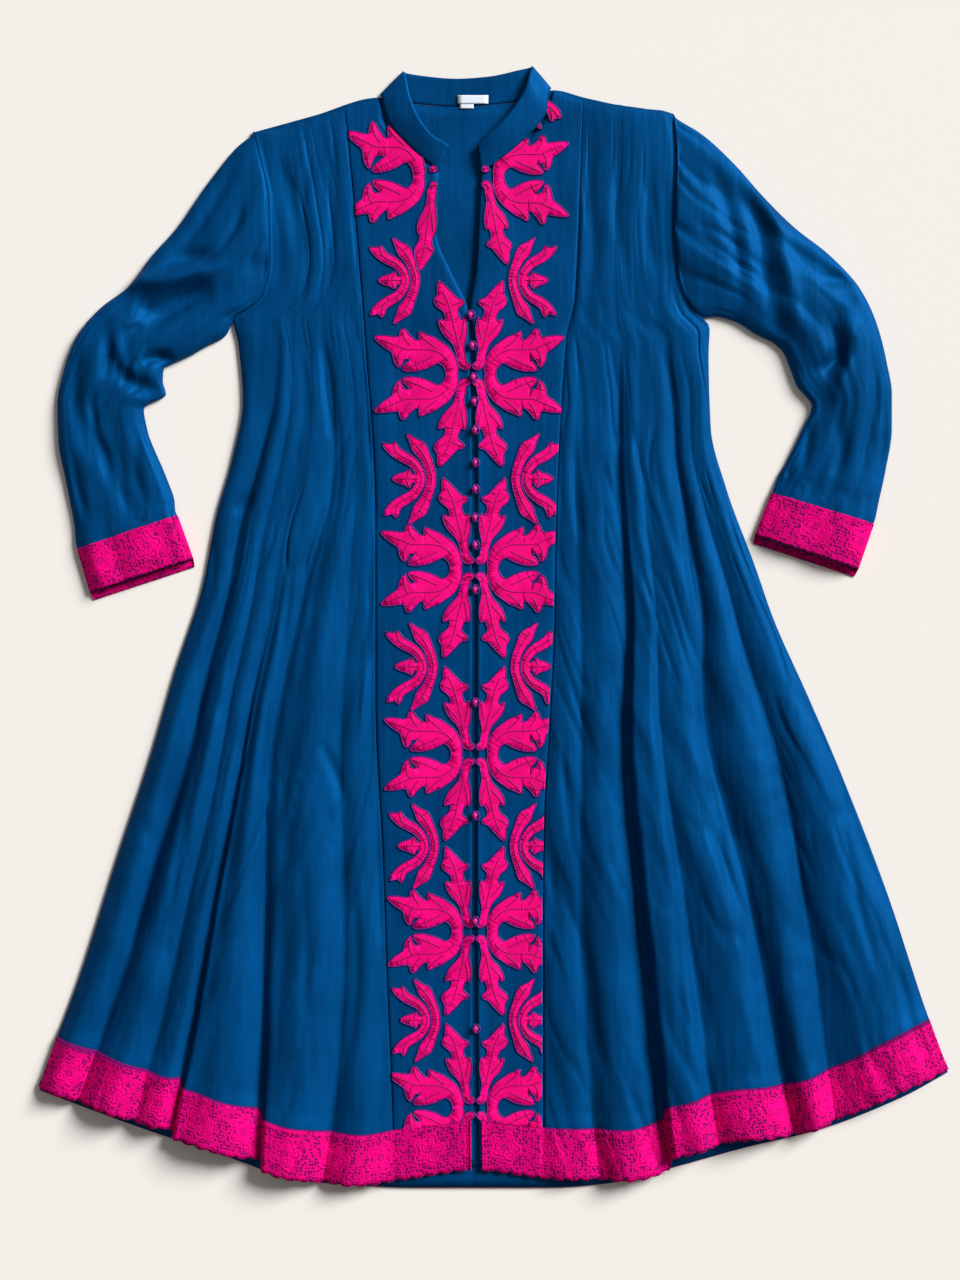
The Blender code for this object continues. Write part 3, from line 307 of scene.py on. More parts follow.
# Line that the motifs of each front are set out from: y, x
LEFT_AXIS = ((427, -52), (329, -34), (240, -20), (157, -17), (-530, -16))
RIGHT_AXIS = ((427, -11), (329, -18), (240, -20), (157, -17), (-530, -16))
BIG_ROWS = (427, 240, 56, -120, -288, -455)
SMALL_ROWS = (329, 141, -37, -207, -372)
MOTIF_SCALE = (0.95, 1.0, 0.97, 0.94, 0.91, 0.9)
# How far the first scroll spreads above and below its middle, on the left and on the right front
FIRST_SPREAD = ((1.27, 1.06), (0.96, 1.1))
# Width and length of the leaf that hangs from the first scroll, as shares of the usual one's
FIRST_HANG = ((0.62, 1.08), (0.9, 1.0))
LEFT_REACH = 1.05
# Half widths of the leaves as a share of their table's
LEAF_WIDTH = 1.25
# Heights above the centre front of the patches' rim, of the threads' middles, and of the middle of the dark
# ring of painted shadow round each patch
PATCH_RIM = 0.75
OUTLINE_HEIGHT = 0.85
PAINTED_SHADOW_HEIGHT = -0.6
VEIN_HEIGHT = 1.2

# Middle of the picture and its height in metres, and the lights: name, direction, strength, angle in degrees
CAMERA_CENTRE = (-11.9, -11.9)
PICTURE_HEIGHT = 1.216
LIGHTS = (("window", (0.7, 0.52, 0.52), 5.35, 26), ("sky", (-0.3, 0.4, 1.4), 0.2, 60))


def length(name, description, value):
    return FloatProperty(name=name, description=description, default=value, unit="LENGTH")


class KaftanSizes(bpy.types.PropertyGroup):
    """Sizes of the cloth and its trimmings."""

    cloth: length("Satin", "Thickness of the satin", 0.0005)
    column_step: length("Column step", "Distance between the cloth's columns of points", 0.0032)
    row_step: length("Row step", "Distance between the cloth's rows of points", 0.0045)
    crinkle: length("Crinkle", "Height of the fine upright crinkles", 0.0006)
    scallop: length("Scallop", "Width of a scallop of the lace", 0.0135)
    scallop_depth: length("Scallop depth", "How far a scallop hangs below its corners", 0.0026)
    rose: length("Rose spacing", "Distance between the roses of the lace", 0.0465)
    patch: length("Applique", "Thickness of the applique", 0.0007)
    outline: length("Outline", "Radius of the stitched outline", 0.0005)
    vein: length("Vein", "Radius of the stitched veins", 0.00055)
    button: length("Button", "Radius of a covered button", 0.0031)
    loops: IntProperty(name="Loop sides", description="Sides of the button loops' cord", default=8, min=3)


def colour(name, description, value):
    return FloatVectorProperty(name=name, description=description, subtype="COLOR", size=3, default=value)


class KaftanColours(bpy.types.PropertyGroup):
    """Colours of the cloth and its trimmings."""

    satin: colour("Satin", "Blue of the satin", (0.0004, 0.056, 0.19))
    applique: colour("Applique", "Pink of the applique", (0.9, 0.0015, 0.2))
    vein: colour("Vein", "Darker pink of the veins", (0.34, 0.002, 0.11))
    outline: colour("Outline", "Purple of the stitched outline", (0.13, 0.012, 0.22))
    lace: colour("Lace", "Pink of the lace", (0.84, 0.001, 0.2))
    lace_ground: colour("Lace ground", "Purple between the threads of the lace", (0.17, 0.003, 0.1))
    button: colour("Button", "Pink of the buttons", (0.45, 0.008, 0.2))
    label: colour("Label", "White of the label", (0.78, 0.86, 0.95))
    floor: colour("Floor", "Pale floor", (0.86, 0.82, 0.775))


def sizes():
    return bpy.context.scene.kaftan_sizes


def colours():
    return bpy.context.scene.kaftan_colours


def smooth(table, at):
    """Value of a two-column table at each place, along a curve with no overshoot."""
    rows = sorted(table)
    x = np.array([row[0] for row in rows], float)
    y = np.array([row[1] for row in rows], float)
    step = np.diff(x)
    slope = np.diff(y) / step
    total = np.where(slope[:-1] + slope[1:] == 0, 1, slope[:-1] + slope[1:])
    inner = np.where(slope[:-1] * slope[1:] > 0, 2 * slope[:-1] * slope[1:] / total, 0)
    tangent = np.concatenate([[slope[0]], inner, [slope[-1]]])
    at = np.asarray(at, float)
    i = np.clip(np.searchsorted(x, at) - 1, 0, len(step) - 1)
    t = np.clip((at - x[i]) / step[i], 0, 1)
    return (
        y[i] * (1 + 2 * t) * (1 - t) ** 2
        + y[i + 1] * t * t * (3 - 2 * t)
        + step[i] * (tangent[i] * t * (1 - t) ** 2 - tangent[i + 1] * t * t * (1 - t))
    )


def smooth_rows(rows, samples):
    """Smooth curve through the rows of a table: the place of each sample, counted in rows, and its values."""
    rows = np.array(rows, float)
    number = np.arange(len(rows), dtype=float)
    at = np.linspace(0, number[-1], (len(rows) - 1) * samples + 1)
    return at, np.stack([smooth(tuple(zip(number, column)), at) for column in rows.T], axis=1)


def ease(low, high, value):
    t = np.clip((value - low) / (high - low), 0, 1)
    return t * t * (3 - 2 * t)


def lace_rise(above_hem, band=LACE_BAND):
    """Rise of the cloth toward the lace band that covers its edge."""
    return LACE_RISE * ease(band + 1 + LACE_SLOPE, band + 1, above_hem)


def soft_noise(a, b, seed):
    """Smooth noise from -1 to 1 over two coordinates, with one new value at each whole number."""
    size = 97
    lattice = np.random.default_rng(seed).uniform(-1, 1, (size, size))
    i, j = np.floor(a).astype(int), np.floor(b).astype(int)
    f, g = a - i, b - j
    f, g = f * f * (3 - 2 * f), g * g * (3 - 2 * g)
    near = lattice[i % size, j % size] * (1 - f) + lattice[(i + 1) % size, j % size] * f
    far = lattice[i % size, (j + 1) % size] * (1 - f) + lattice[(i + 1) % size, (j + 1) % size] * f
    return near * (1 - g) + far * g


def crease_depth(x, y, creases):
    """Depth of all the creases together at each place. Each is a trough that fades out at its ends."""
    total = np.zeros_like(x)
    for depth, half, points in creases:
        route = smooth_rows(points, 6)[1]
        best = np.full_like(x, 1e9)
        along = np.zeros_like(x)
        for k, ((ax, ay), (dx, dy)) in enumerate(zip(route, np.diff(route, axis=0))):
            t = np.clip(((x - ax) * dx + (y - ay) * dy) / (dx * dx + dy * dy), 0, 1)
            far = (x - ax - t * dx) ** 2 + (y - ay - t * dy) ** 2
            closer = far < best
            best = np.where(closer, far, best)
            along = np.where(closer, (k + t) / (len(route) - 1), along)
        taper = np.clip(np.sin(math.pi * np.clip(along, 0.02, 0.98)), 0, 1) ** 0.7
        total += depth * taper * np.exp(-best / half**2)
    return total


def normals(grid):
    """Unit normals of a grid of points, on the side that faces up."""
    n = np.cross(np.gradient(grid, axis=1), np.gradient(grid, axis=0))
    n *= np.where(n[..., 2:] < 0, -1, 1)
    return n / np.linalg.norm(n, axis=2, keepdims=True)


def crinkle(x, y, across, along, seed):
    """Soft waves and fine crinkles that follow the fall of the cloth, uneven in length and spacing."""
    wander = across + 5 * soft_noise(x / 90, y / 70, seed)
    broad = soft_noise(wander / 19, along / 170, seed + 1)
    middle = soft_noise(wander / 8, along / 100, seed + 2)
    creased = np.exp(-((soft_noise(wander / 13, along / 120, seed + 3) / 0.13) ** 2))
    fine_creased = np.exp(-((soft_noise(wander / 7, along / 75, seed + 4) / 0.16) ** 2))
    here = ease(-0.35, 0.5, soft_noise(x / 45, y / 85, seed + 5))
    there = ease(-0.2, 0.6, soft_noise(x / 30, y / 60, seed + 6))
    waves = 2.6 * broad + 1.1 * middle - 2.6 * creased * here - 1.3 * fine_creased * there
    return waves * sizes().crinkle / MM


def add_piece(name, mesh, looks, slot, *nodes):
    """Object for a finished mesh, which rides on the dress and stands for the named nodes."""
    made = bpy.data.objects.new(name, mesh)
    bpy.context.scene.collection.objects.link(made)
    for look in looks:
        mesh.materials.append(look)
    mesh.shade_smooth()
    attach(made, "root")
    if nodes:
        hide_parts(*nodes)
    return made


def cloth(name, grid, look, slot, nodes, thickness=None, ring=False, band=None):
    """Thin cloth on a grid of points in millimetres. A band gives its UV map, along and across, likewise."""
    rows, columns = grid.shape[:2]
    across = columns if ring else columns - 1
    faces = []
    for row in range(0, (rows - 1) * columns, columns):
        for c in range(across):
            after = (c + 1) % columns
            faces.append((row + c, row + columns + c, row + columns + after, row + after))
    mesh = bpy.data.meshes.new(name)
    mesh.from_pydata([tuple(point * MM) for point in grid.reshape(-1, 3)], [], faces)
    if band is not None:
        layer = mesh.uv_layers.new(name="band")
        flat = band.reshape(-1, 2)
        ring_length = flat[:, 0].max() + (flat[1, 0] - flat[0, 0]) if ring else 0
        coordinates = np.empty((len(mesh.loops), 2))
        for face in mesh.polygons:
            for corner, loop in enumerate(face.loop_indices):
                vertex = mesh.loops[loop].vertex_index
                u, v = flat[vertex]
                if ring and face.index % columns == columns - 1 and corner in (2, 3):
                    u += ring_length
                coordinates[loop] = (u * MM, v * MM)
        layer.data.foreach_set("uv", coordinates.ravel())
    made = add_piece(name, mesh, [look], slot, *nodes)
    wall = made.modifiers.new("cloth", "SOLIDIFY")
    wall.thickness = sizes().cloth if thickness is None else thickness * MM
    wall.offset = -1
    return made


class Socket:
    """An output of a node, or a number, whose arithmetic adds Math nodes."""

    def __init__(self, look, value):
        self.look = look
        self.value = value

    def math(self, operation, other=None):
        values = [self.value] if other is None else [self.value, getattr(other, "value", other)]
        return self.look.node("ShaderNodeMath", {"operation": operation}, *values)

    def reversed_math(self, operation, other):
        return self.look.node("ShaderNodeMath", {"operation": operation}, other, self.value)

    def __add__(self, other):
        return self.math("ADD", other)

    __radd__ = __add__

    def __mul__(self, other):
        return self.math("MULTIPLY", other)

    __rmul__ = __mul__

    def __sub__(self, other):
        return self.math("SUBTRACT", other)

    def __rsub__(self, other):
        return self.reversed_math("SUBTRACT", other)

    def __truediv__(self, other):
        return self.math("DIVIDE", other)

    def between(self, low, high):
        """0 below low and 1 above high, with a smooth rise."""
        return self.look.node(
            "ShaderNodeMapRange", {"interpolation_type": "SMOOTHSTEP"}, self.value, low, high, 0.0, 1.0
        )


class Look:
    """A material and the nodes that feed its shader."""

    def __init__(self, name, roughness, **constants):
        self.material = bpy.data.materials.new(name)
        self.material.use_nodes = True
        self.tree = self.material.node_tree
        self.shader = self.tree.nodes["Principled BSDF"]
        self.set("Roughness", roughness)
        for socket, value in constants.items():
            self.shader.inputs[socket.replace("_", " ")].default_value = value

    def node(self, kind, settings=None, *values, output=0, **named):
        made = self.tree.nodes.new(kind)
        for key, value in (settings or {}).items():
            setattr(made, key, value)
        for key, value in [*enumerate(values), *named.items()]:
            self.feed(made.inputs[key.replace("_", " ") if isinstance(key, str) else key], value)
        return Socket(self, made.outputs[output])

    def feed(self, place, value):
        """Links a node's output to an input, or gives the input a plain value."""
        value = getattr(value, "value", value)
        if isinstance(value, bpy.types.NodeSocket):
            self.tree.links.new(value, place)
        elif value is not None:
            place.default_value = value

    def set(self, socket, value):
        self.feed(self.shader.inputs[socket], value)

    def position(self, scale=(1, 1, 1)):
        place = self.node("ShaderNodeTexCoord", output=3)
        return self.node("ShaderNodeMapping", None, place, Scale=scale)

    def noise(self, vector, scale, detail=2.0, roughness=0.5):
        return self.node(
            "ShaderNodeTexNoise", None, Vector=vector, Scale=scale, Detail=detail, Roughness=roughness
        )

    def blend(self, factor, first, second):
        """Mix of two colours."""
        made = self.tree.nodes.new("ShaderNodeMix")
        made.data_type = "RGBA"
        for place, value in zip((0, 6, 7), (factor, first, second)):
            self.feed(made.inputs[place], (*value, 1) if isinstance(value, tuple) else value)
        return Socket(self, made.outputs[2])

    def bump(self, height, distance, strength=1.0, under=None):
        return self.node(
            "ShaderNodeBump", None, Strength=strength, Distance=distance, Height=height,
            **({"Normal": under} if under else {}),
        )


def shade(value, share):
    return tuple(part * share for part in value)


def satin_look():
    """Blue satin: a soft sheen, long fine crinkles and a close weave."""
    found = bpy.data.materials.get("satin_cloth")
    if found:
        return found
    blue = tuple(colours().satin)
    look = Look("satin_cloth", 0.5, Metallic=0.3, Specular_IOR_Level=0.08)
    look.shader.inputs["Specular Tint"].default_value = (0.1, 0.5, 1.0, 1)
    stretched = look.position((1, 0.12, 1))
    long_marks = look.noise(stretched, 130, 3.0)
    patches = look.noise(look.position(), 16, 3.0)
    threads = look.noise(look.position((1, 0.25, 1)), 900, 2.0)
    tone = 0.35 * long_marks + 0.65 * patches
    base = look.blend(tone.between(0.3, 0.7), shade(blue, 0.82), shade(blue, 1.16))
    look.set("Base Color", base)
    look.set("Roughness", 0.47 + 0.12 * patches + 0.06 * threads)
    under = look.bump(long_marks, 0.0016, 0.45)
    look.set("Normal", look.bump(threads, 0.0002, 0.25, under))
    return look.material


def applique_look():
    found = bpy.data.materials.get("applique_cloth")
    if found:
        return found
    pink = tuple(colours().applique)
    look = Look("applique_cloth", 0.7, Specular_IOR_Level=0.06)
    patches = look.noise(look.position(), 60, 3.0)
    threads = look.noise(look.position((1, 0.3, 1)), 1100, 2.0)
    worn = 0.7 * patches + 0.3 * threads
    look.set("Base Color", look.blend(worn.between(0.3, 0.7), shade(pink, 0.78), shade(pink, 1.06)))
    look.set("Normal", look.bump(threads, 0.0003, 0.5, look.bump(patches, 0.0008, 0.3)))
    return look.material


def thread_look(name, value, twist):
    """Satin-stitch thread: fine slanted ribs of lighter and darker thread."""
    found = bpy.data.materials.get(name)
    if found:
        return found
    look = Look(name, 0.5, Specular_IOR_Level=0.3)
    ribs = look.noise(look.position(), twist, 1.0)
    look.set("Base Color", look.blend(ribs.between(0.35, 0.65), shade(value, 0.6), shade(value, 1.5)))
    look.set("Normal", look.bump(ribs, 0.0004, 0.6))
    return look.material


def lace_look():
    """Floral lace: a row of roses along the band, over a net of small holes, with a corded edge."""
    found = bpy.data.materials.get("floral_lace")
    if found:
        return found
    pink, ground = tuple(colours().lace), tuple(colours().lace_ground)
    period = sizes().rose
    look = Look("floral_lace", 0.75, Specular_IOR_Level=0.04)
    band = look.node("ShaderNodeUVMap", {"uv_map": "band"})
    split = look.tree.nodes.new("ShaderNodeSeparateXYZ")
    look.tree.links.new(band.value, split.inputs[0])
    u, v = Socket(look, split.outputs[0]), Socket(look, split.outputs[1])
    cell = (u / period).math("FRACT") - 0.5
    x = cell * period
    y = v - 0.025
    radius = (x * x + y * y).math("SQRT")
    angle = y.math("ARCTAN2", x)
    petals = 0.0105 + 0.0022 * (angle * 5).math("COSINE")
    rose = 1 - (radius - petals).between(-0.0006, 0.0008)
    whorl = (0.0032 - radius).between(-0.0004, 0.0004) * (radius - 0.0016).between(-0.0004, 0.0004)
    ring = 1 - ((radius - petals - 0.0026).math("ABSOLUTE")).between(0.0008, 0.0016)
    net = look.node("ShaderNodeTexVoronoi", {"feature": "F1"}, Vector=band, Scale=330.0, Randomness=0.55)
    sprays = look.noise(band, 90, 2.0).between(0.34, 0.46)
    holes = (1 - net.between(0.32, 0.52)) * sprays * (1 - ring)
    top_line = v.between(0.0477, 0.0481)
    dark = (holes * (1 - rose) + rose * whorl * 0.6 + top_line).math("MINIMUM", 1.0)
    worn = look.noise(band, 45, 2.0)
    cloth_pink = look.blend(worn.between(0.3, 0.7), shade(pink, 0.86), shade(pink, 1.06))
    light = look.blend((1 - rose) * (1 - ring) * 0.5, cloth_pink, shade(pink, 0.6))
    look.set("Base Color", look.blend(dark, light, ground))
    relief = rose * 0.6 + ring * 0.4 - holes
    look.set("Normal", look.bump(relief, 0.0008, 0.7))
    return look.material


def plain_look(name, value, roughness, grain):
    found = bpy.data.materials.get(name)
    if found:
        return found
    look = Look(name, roughness, Specular_IOR_Level=0.3)
    weave = look.noise(look.position(), grain, 2.0)
    look.set("Base Color", look.blend(weave, shade(value, 0.9), shade(value, 1.05)))
    look.set("Normal", look.bump(weave, 0.0003, 0.4))
    return look.material


def row_depths(step):
    """Distances of the lace band's rows above the hem, from the band's upper edge down."""
    return np.linspace(LACE_BAND, 0, round(LACE_BAND / step) + 1)


def side_front(edge, seam, top_edge, folds, creases, seed):
    """Points of a side front, from the side edge to the panel seam. Its last rows are the lace band's."""
    step_x, step_y = sizes().column_step / MM, sizes().row_step / MM
    lines = [("trough", (0,) * 7, (EDGE_TOP,) * 7), *folds, ("trough", (1,) * 7, (CENTRE_TOP,) * 7)]
    corner, seam_end = edge[-1][1], float(smooth(seam, -520))
    pieces = []
    for near, far in zip(lines[:-1], lines[1:]):
        wide = (far[1][-1] - near[1][-1]) * abs(seam_end - corner)
        count = max(3, round(wide / step_x))
        pieces.extend((near, far, k / count) for k in range(count))
    pieces.append((lines[-2], lines[-1], 1.0))
    hem_place = np.array([near[1][-1] + (far[1][-1] - near[1][-1]) * t for near, far, t in pieces])
    hem = smooth(FRONT_HEM, corner + (seam_end - corner) * hem_place)
    top_y = top_edge[0] + (top_edge[1] - top_edge[0]) * hem_place
    start = LACE_BAND + 1
    count = round((top_edge[0] - hem[0] - start) / step_y)
    upper = top_y + (hem + start - top_y) * np.linspace(0, 1, count)[:, None]
    y = np.concatenate([upper, hem + row_depths(step_y)[:, None]])
    level = ((y[:1] - y) / (y[:1] - y[-1:]))[:, 0]
    share, height = [], []
    for near, far, t in pieces:
        near_at, far_at = (smooth(tuple(zip(LEVELS, line[1])), level) for line in (near, far))
        near_z, far_z = (smooth(tuple(zip(LEVELS, line[2])), level) for line in (near, far))
        if near[0] == "trough":
            rise = math.sin(math.pi / 2 * t)
        elif far[0] == "trough":
            rise = 1 - math.sin(math.pi / 2 * (1 - t))
        else:
            rise = t * t * (3 - 2 * t)
        share.append(near_at + (far_at - near_at) * t)
        height.append(near_z + (far_z - near_z) * rise)
    share, height = np.array(share).T, np.array(height).T
    flatter = 0.8 * ease(0.36, 0.14, level)[:, None]
    deeper = 1 + FOLD_GAIN * ease(0.15, 0.7, level)[:, None] * ease(1, 0.86, share)
    height = EDGE_TOP + 0.4 + (height - EDGE_TOP - 0.4) * deeper
    height = height + flatter * (5.6 - height) * ease(0, 0.12, share) * ease(1, 0.88, share)
    side, inner = smooth(edge, y[:, 0]), smooth(seam, y[:, -1])
    inner = inner - np.sign(inner - side) * SEAM_HALF_GAP
    x = side[:, None] + (inner - side)[:, None] * share
    arm = np.maximum(smooth(ARMHOLE_HEIGHT, y[:, 0]), EDGE_TOP)[:, None]
    height = height + (arm - height) * (1 - np.clip(share / 0.1, 0, 1)) * (y[:, :1] > UNDERARM)
    away = ease(0, 0.03, share) * ease(0, 0.03, 1 - share)
    calm = 0.45 + 0.55 * ease(0.1, 0.4, level)[:, None]
    height = height + away * calm * crinkle(x, y, share * abs(inner - side)[:, None], y, seed)
    height = np.maximum(height - CREASE_GAIN * away * crease_depth(x, y, creases), EDGE_TOP)
    roll = np.sqrt(1 - (1 - np.clip((y[:1] - y) / 35, 0, 1)) ** 2)
    height = EDGE_TOP + (height - EDGE_TOP) * roll
    lift = lace_rise(y - y[-1:])
    return np.stack([x, y, height + lift], axis=2)


def centre_height(x, y):
    """Height of the centre fronts: nearly flat, with a few soft waves, and raised along the V opening."""
    soft = 0.5 * soft_noise(x / 34, y / 90, 31) + 0.35 * soft_noise(x / 15, y / 60, 32)
    middle = smooth(CENTRE_LINE, np.clip(y, -530, 303))
    opening = 2.2 * np.exp(-(((x - middle) / 34) ** 2)) * ease(250, 330, y) * ease(470, 430, y)
    edge = 1.7 * np.exp(-(((x - middle) / 6) ** 2)) * (1 - ease(250, 300, y))
    return CENTRE_TOP + 0.4 + soft * ease(500, 470, y) + opening + edge


def lifted_height(x, y):
    """Height of the centre fronts, with their rise beside the lace."""
    return centre_height(x, y) + lace_rise(y - smooth(FRONT_HEM, x))


def centre_front(seam, inner_edge, top_edge):
    """Points of a centre front, from the panel seam to the neckline, V opening and centre line."""
    step_x, step_y = sizes().column_step / MM, sizes().row_step / MM
    share = np.linspace(0, 1, round(110 / step_x))
    ends = [float(smooth(table, -520)) for table in (seam, inner_edge)]
    hem = smooth(FRONT_HEM, ends[0] + (ends[1] - ends[0]) * share)
    top_y = top_edge[0] + (top_edge[1] - top_edge[0]) * share
    count = round((top_edge[0] - hem[0] - LACE_BAND) / step_y)
    upper = top_y + (hem + LACE_BAND + 1 - top_y) * np.linspace(0, 1, count)[:, None]
    y = np.concatenate([upper, hem + row_depths(step_y)[:, None]])
    outer, inner = smooth(seam, y[:, 0]), smooth(inner_edge, y[:, -1])
    toward = np.sign(inner - outer)
    outer = outer + toward * SEAM_HALF_GAP
    inner = inner - toward * (0.5 + 2.4 * (1 - ease(270, 310, y[:, -1])))
    x = outer[:, None] + (inner - outer)[:, None] * share
    roll = np.sqrt(1 - (1 - np.clip((y[:1] - y) / 20, 0, 1)) ** 2)
    top = EDGE_TOP + (centre_height(x, y) - EDGE_TOP) * roll
    z = CENTRE_TOP + (top - CENTRE_TOP) * (1 - (1 - ease(0, 0.06, share)) * (roll > 0.99))
    turned = 1.5 * ease(4.5, 0, np.abs(inner[:, None] - x)) * ease(290, 310, y) * (roll > 0.99)
    lift = lace_rise(y - y[-1:])
    return np.stack([x, y, z + lift - turned], axis=2)


def band_map(grid):
    """UV of a lace band in millimetres: along it, and up from its lower edge."""
    low = grid[-1]
    along = np.concatenate([[0], np.cumsum(np.linalg.norm(np.diff(low[:, :2], axis=0), axis=1))])
    up = np.linalg.norm(grid[:, :, :2] - low[None, :, :2], axis=2)
    return np.stack([np.broadcast_to(along, up.shape), up], axis=2)


def finer(grid):
    """The grid with one more column between each two."""
    middle = (grid[:, 1:] + grid[:, :-1]) / 2
    made = np.empty((grid.shape[0], 2 * grid.shape[1] - 1, grid.shape[2]))
    made[:, ::2], made[:, 1::2] = grid, middle
    return made


def scalloped(grid, band):
    """The band with its lower edge drawn out into scallops."""
    wave = np.abs(np.sin(math.pi * band[..., 0] / (sizes().scallop / MM))) ** 0.7
    out = grid.copy()
    drop = (sizes().scallop_depth / MM) * (1 - wave)
    out[..., 1] += drop * np.clip(1 - band[..., 1] / 12, 0, 1)
    return out


def sleeve_sections(rows, cuff, per_section):
    """Sections of a sleeve, smoothed between those of its table, with the cuff's added."""
    top_outer, top_inner, mouth_outer, mouth_inner = (np.array(corner, float) for corner in cuff)
    table = [(*row, 0.0) for row in rows]
    for share in (0.0, 0.12, 0.55, 0.97):
        outer = top_outer + (mouth_outer - top_outer) * share
        inner = top_inner + (mouth_inner - top_inner) * share
        table.append((*outer, *inner, CUFF_HEIGHT - 1.5, 1.3))
    return smooth_rows(table, per_section)


def sleeve(rows, cuff, panel_edge, creases, outward, seed, over_count=58, under_count=18, per_section=9):
    """Points of a sleeve, ring by ring, from the armhole to the cuff's mouth, and the cuff's first ring."""
    at, sections = sleeve_sections(rows, cuff, per_section)
    over = 0.5 - 0.5 * np.cos(np.linspace(0, math.pi, over_count))
    under = (0.5 + 0.5 * np.cos(np.linspace(0, math.pi, under_count + 2)))[1:-1]
    share = np.concatenate([over, under])
    top = np.clip(1 - (2 * over - 1) ** 2, 0, 1) ** 0.42
    cuff_ring = len(rows) * per_section
    axis = np.array(cuff[2], float) - np.array(cuff[0], float)
    axis /= np.linalg.norm(axis)
    bow_at = smooth(tuple(enumerate(SLEEVE_BOW)), np.clip(at, 0, len(SLEEVE_BOW) - 1))
    rings = []
    for index, (ox, oy, ix, iy, high, lift) in enumerate(sections):
        plan = np.array([ox, oy]) + np.array([ix - ox, iy - oy]) * share[:, None]
        armhole = np.interp(plan[:, 1], panel_edge[::-1, 1], panel_edge[::-1, 0]) + outward * ARMHOLE_GAP
        bow = bow_at[index]
        kept_out = (1 - bow**4) * (1 - np.clip(share / OUTER_SHARE, 0, 1))
        plan[:, 0] += bow * (1 - kept_out) * (armhole - plan[:, 0])
        low = lift + 1.6
        z_over = low + (high + lift - low) * top
        z = np.concatenate([z_over, np.full(under_count, lift)])
        rings.append(np.column_stack([plan, z]))
    grid = np.array(rings)
    x, y = grid[:, :over_count, 0], grid[:, :over_count, 1]
    inside = (np.clip(over * (1 - over) * 12, 0, 1) ** 0.6)[None, :]
    dip = SLEEVE_CREASE_GAIN * crease_depth(x, y, creases) * inside
    around, down = over[None, :] * HALF_GIRTH + 0 * x, at[:, None] * SECTION_LENGTH + 0 * x
    fine = crinkle(x, y, around, down, seed) * 1.2 * inside
    fade = ease(0, 0.6, at)[:, None]
    floor = (sections[:, 5] + 3.0)[:, None]
    plain = grid[:, :over_count, 2]
    raised = np.maximum(plain + (fine - dip) * fade, floor)
    grid[:, :over_count, 2] = np.where(plain > floor, raised, plain)
    mouth = ease(cuff_ring + 10, len(sections) - 1, np.arange(len(sections)))
    grid[:, over_count:, :2] += axis * (CUFF_UNDER_LAYER * mouth)[:, None, None]
    return grid, cuff_ring


def moved_out(ring_grid, distance):
    """Rings of points moved out along their own normals, and kept above the floor."""
    ahead = np.roll(ring_grid, -1, axis=1) - ring_grid
    ahead /= np.linalg.norm(ahead, axis=2, keepdims=True)
    behind = np.roll(ahead, 1, axis=1)
    out = np.cross(ahead + behind, np.gradient(ring_grid, axis=0))
    out /= np.linalg.norm(out, axis=2, keepdims=True)
    radial = ring_grid - ring_grid.mean(axis=1, keepdims=True)
    facing = np.where((out * radial).sum(axis=(1, 2), keepdims=True) < 0, -1, 1)
    grid = ring_grid + out * facing * distance
    grid[..., 2] = np.maximum(grid[..., 2], 0.1)
    return grid


def collar_grid(per_station=6, up=12):
    at, fine = smooth_rows(COLLAR, per_station)
    base, top = fine[:, :3], fine[:, 3:]
    share = np.linspace(0, 1, up)
    grid = np.stack([base + (top - base) * part for part in share], axis=1)
    bulge = np.sin(math.pi * share)[None, :] * 0.9
    rumple = 0.5 * soft_noise(at[:, None] * 1.3, share[None, :] * 2.5, 41)
    grid[..., 2] += (bulge + rumple * np.sin(math.pi * share)[None, :]) * (grid[..., 2] > 2.2)
    return grid


def along_blade(blade, samples=6):
    """Points and half widths along a blade's spine."""
    return smooth_rows(blade, samples)[1]


def leaf_shape(blades, grain=2.2):
    """Union of the blades: points, triangles, edges of the outline, and each point's distance from that."""
    points, strips = [], []
    for blade in blades:
        spine = along_blade(blade)
        ahead = np.gradient(spine[:, :2], axis=0)
        ahead /= np.linalg.norm(ahead, axis=1, keepdims=True)
        across = np.stack([-ahead[:, 1], ahead[:, 0]], axis=1) * np.maximum(spine[:, 2:] * LEAF_WIDTH, 1.2)
        first = len(points)
        for place, side in zip(spine[:, :2], across):
            points.extend(Vector((max(end[0], 0.5), end[1])) for end in (place + side, place - side))
        strips.extend([first + 2 * k, first + 2 * k + 1, first + 2 * k + 3, first + 2 * k + 2]
                      for k in range(len(spine) - 1))
    low, high = np.min(points, axis=0), np.max(points, axis=0)
    for x in np.arange(low[0], high[0], grain):
        points.extend(Vector((x, y)) for y in np.arange(low[1], high[1], grain))
    verts, _, faces, _, _, owners = delaunay_2d_cdt(points, [], strips, 1, 0.01)
    faces = [face for face, owner in zip(faces, owners) if owner]
    work = bmesh.new()
    made = [work.verts.new((*vert, 0)) for vert in verts]
    for face in faces:
        work.faces.new([made[k] for k in face])
    bmesh.ops.delete(work, geom=[vert for vert in work.verts if not vert.link_faces], context="VERTS")
    rim = [vert for vert in work.verts if vert.is_boundary]
    beside = [[edge.other_vert(vert) for edge in vert.link_edges if edge.is_boundary] for vert in rim]
    for _ in range(6):
        middles = [sum((vert.co for vert in pair), Vector()) / len(pair) for pair in beside]
        for vert, middle in zip(rim, middles):
            vert.co = vert.co.lerp(middle, 0.5)
    work.verts.index_update()
    place = np.array([vert.co[:2] for vert in work.verts])
    triangles = [[vert.index for vert in face.verts] for face in work.faces]
    rim_edges = [[vert.index for vert in edge.verts] for edge in work.edges if edge.is_boundary]
    work.free()
    rim_points = place[np.unique(rim_edges)]
    inside = np.sqrt(((place[:, None] - rim_points[None]) ** 2).sum(axis=2).min(axis=1))
    return place, triangles, rim_edges, inside


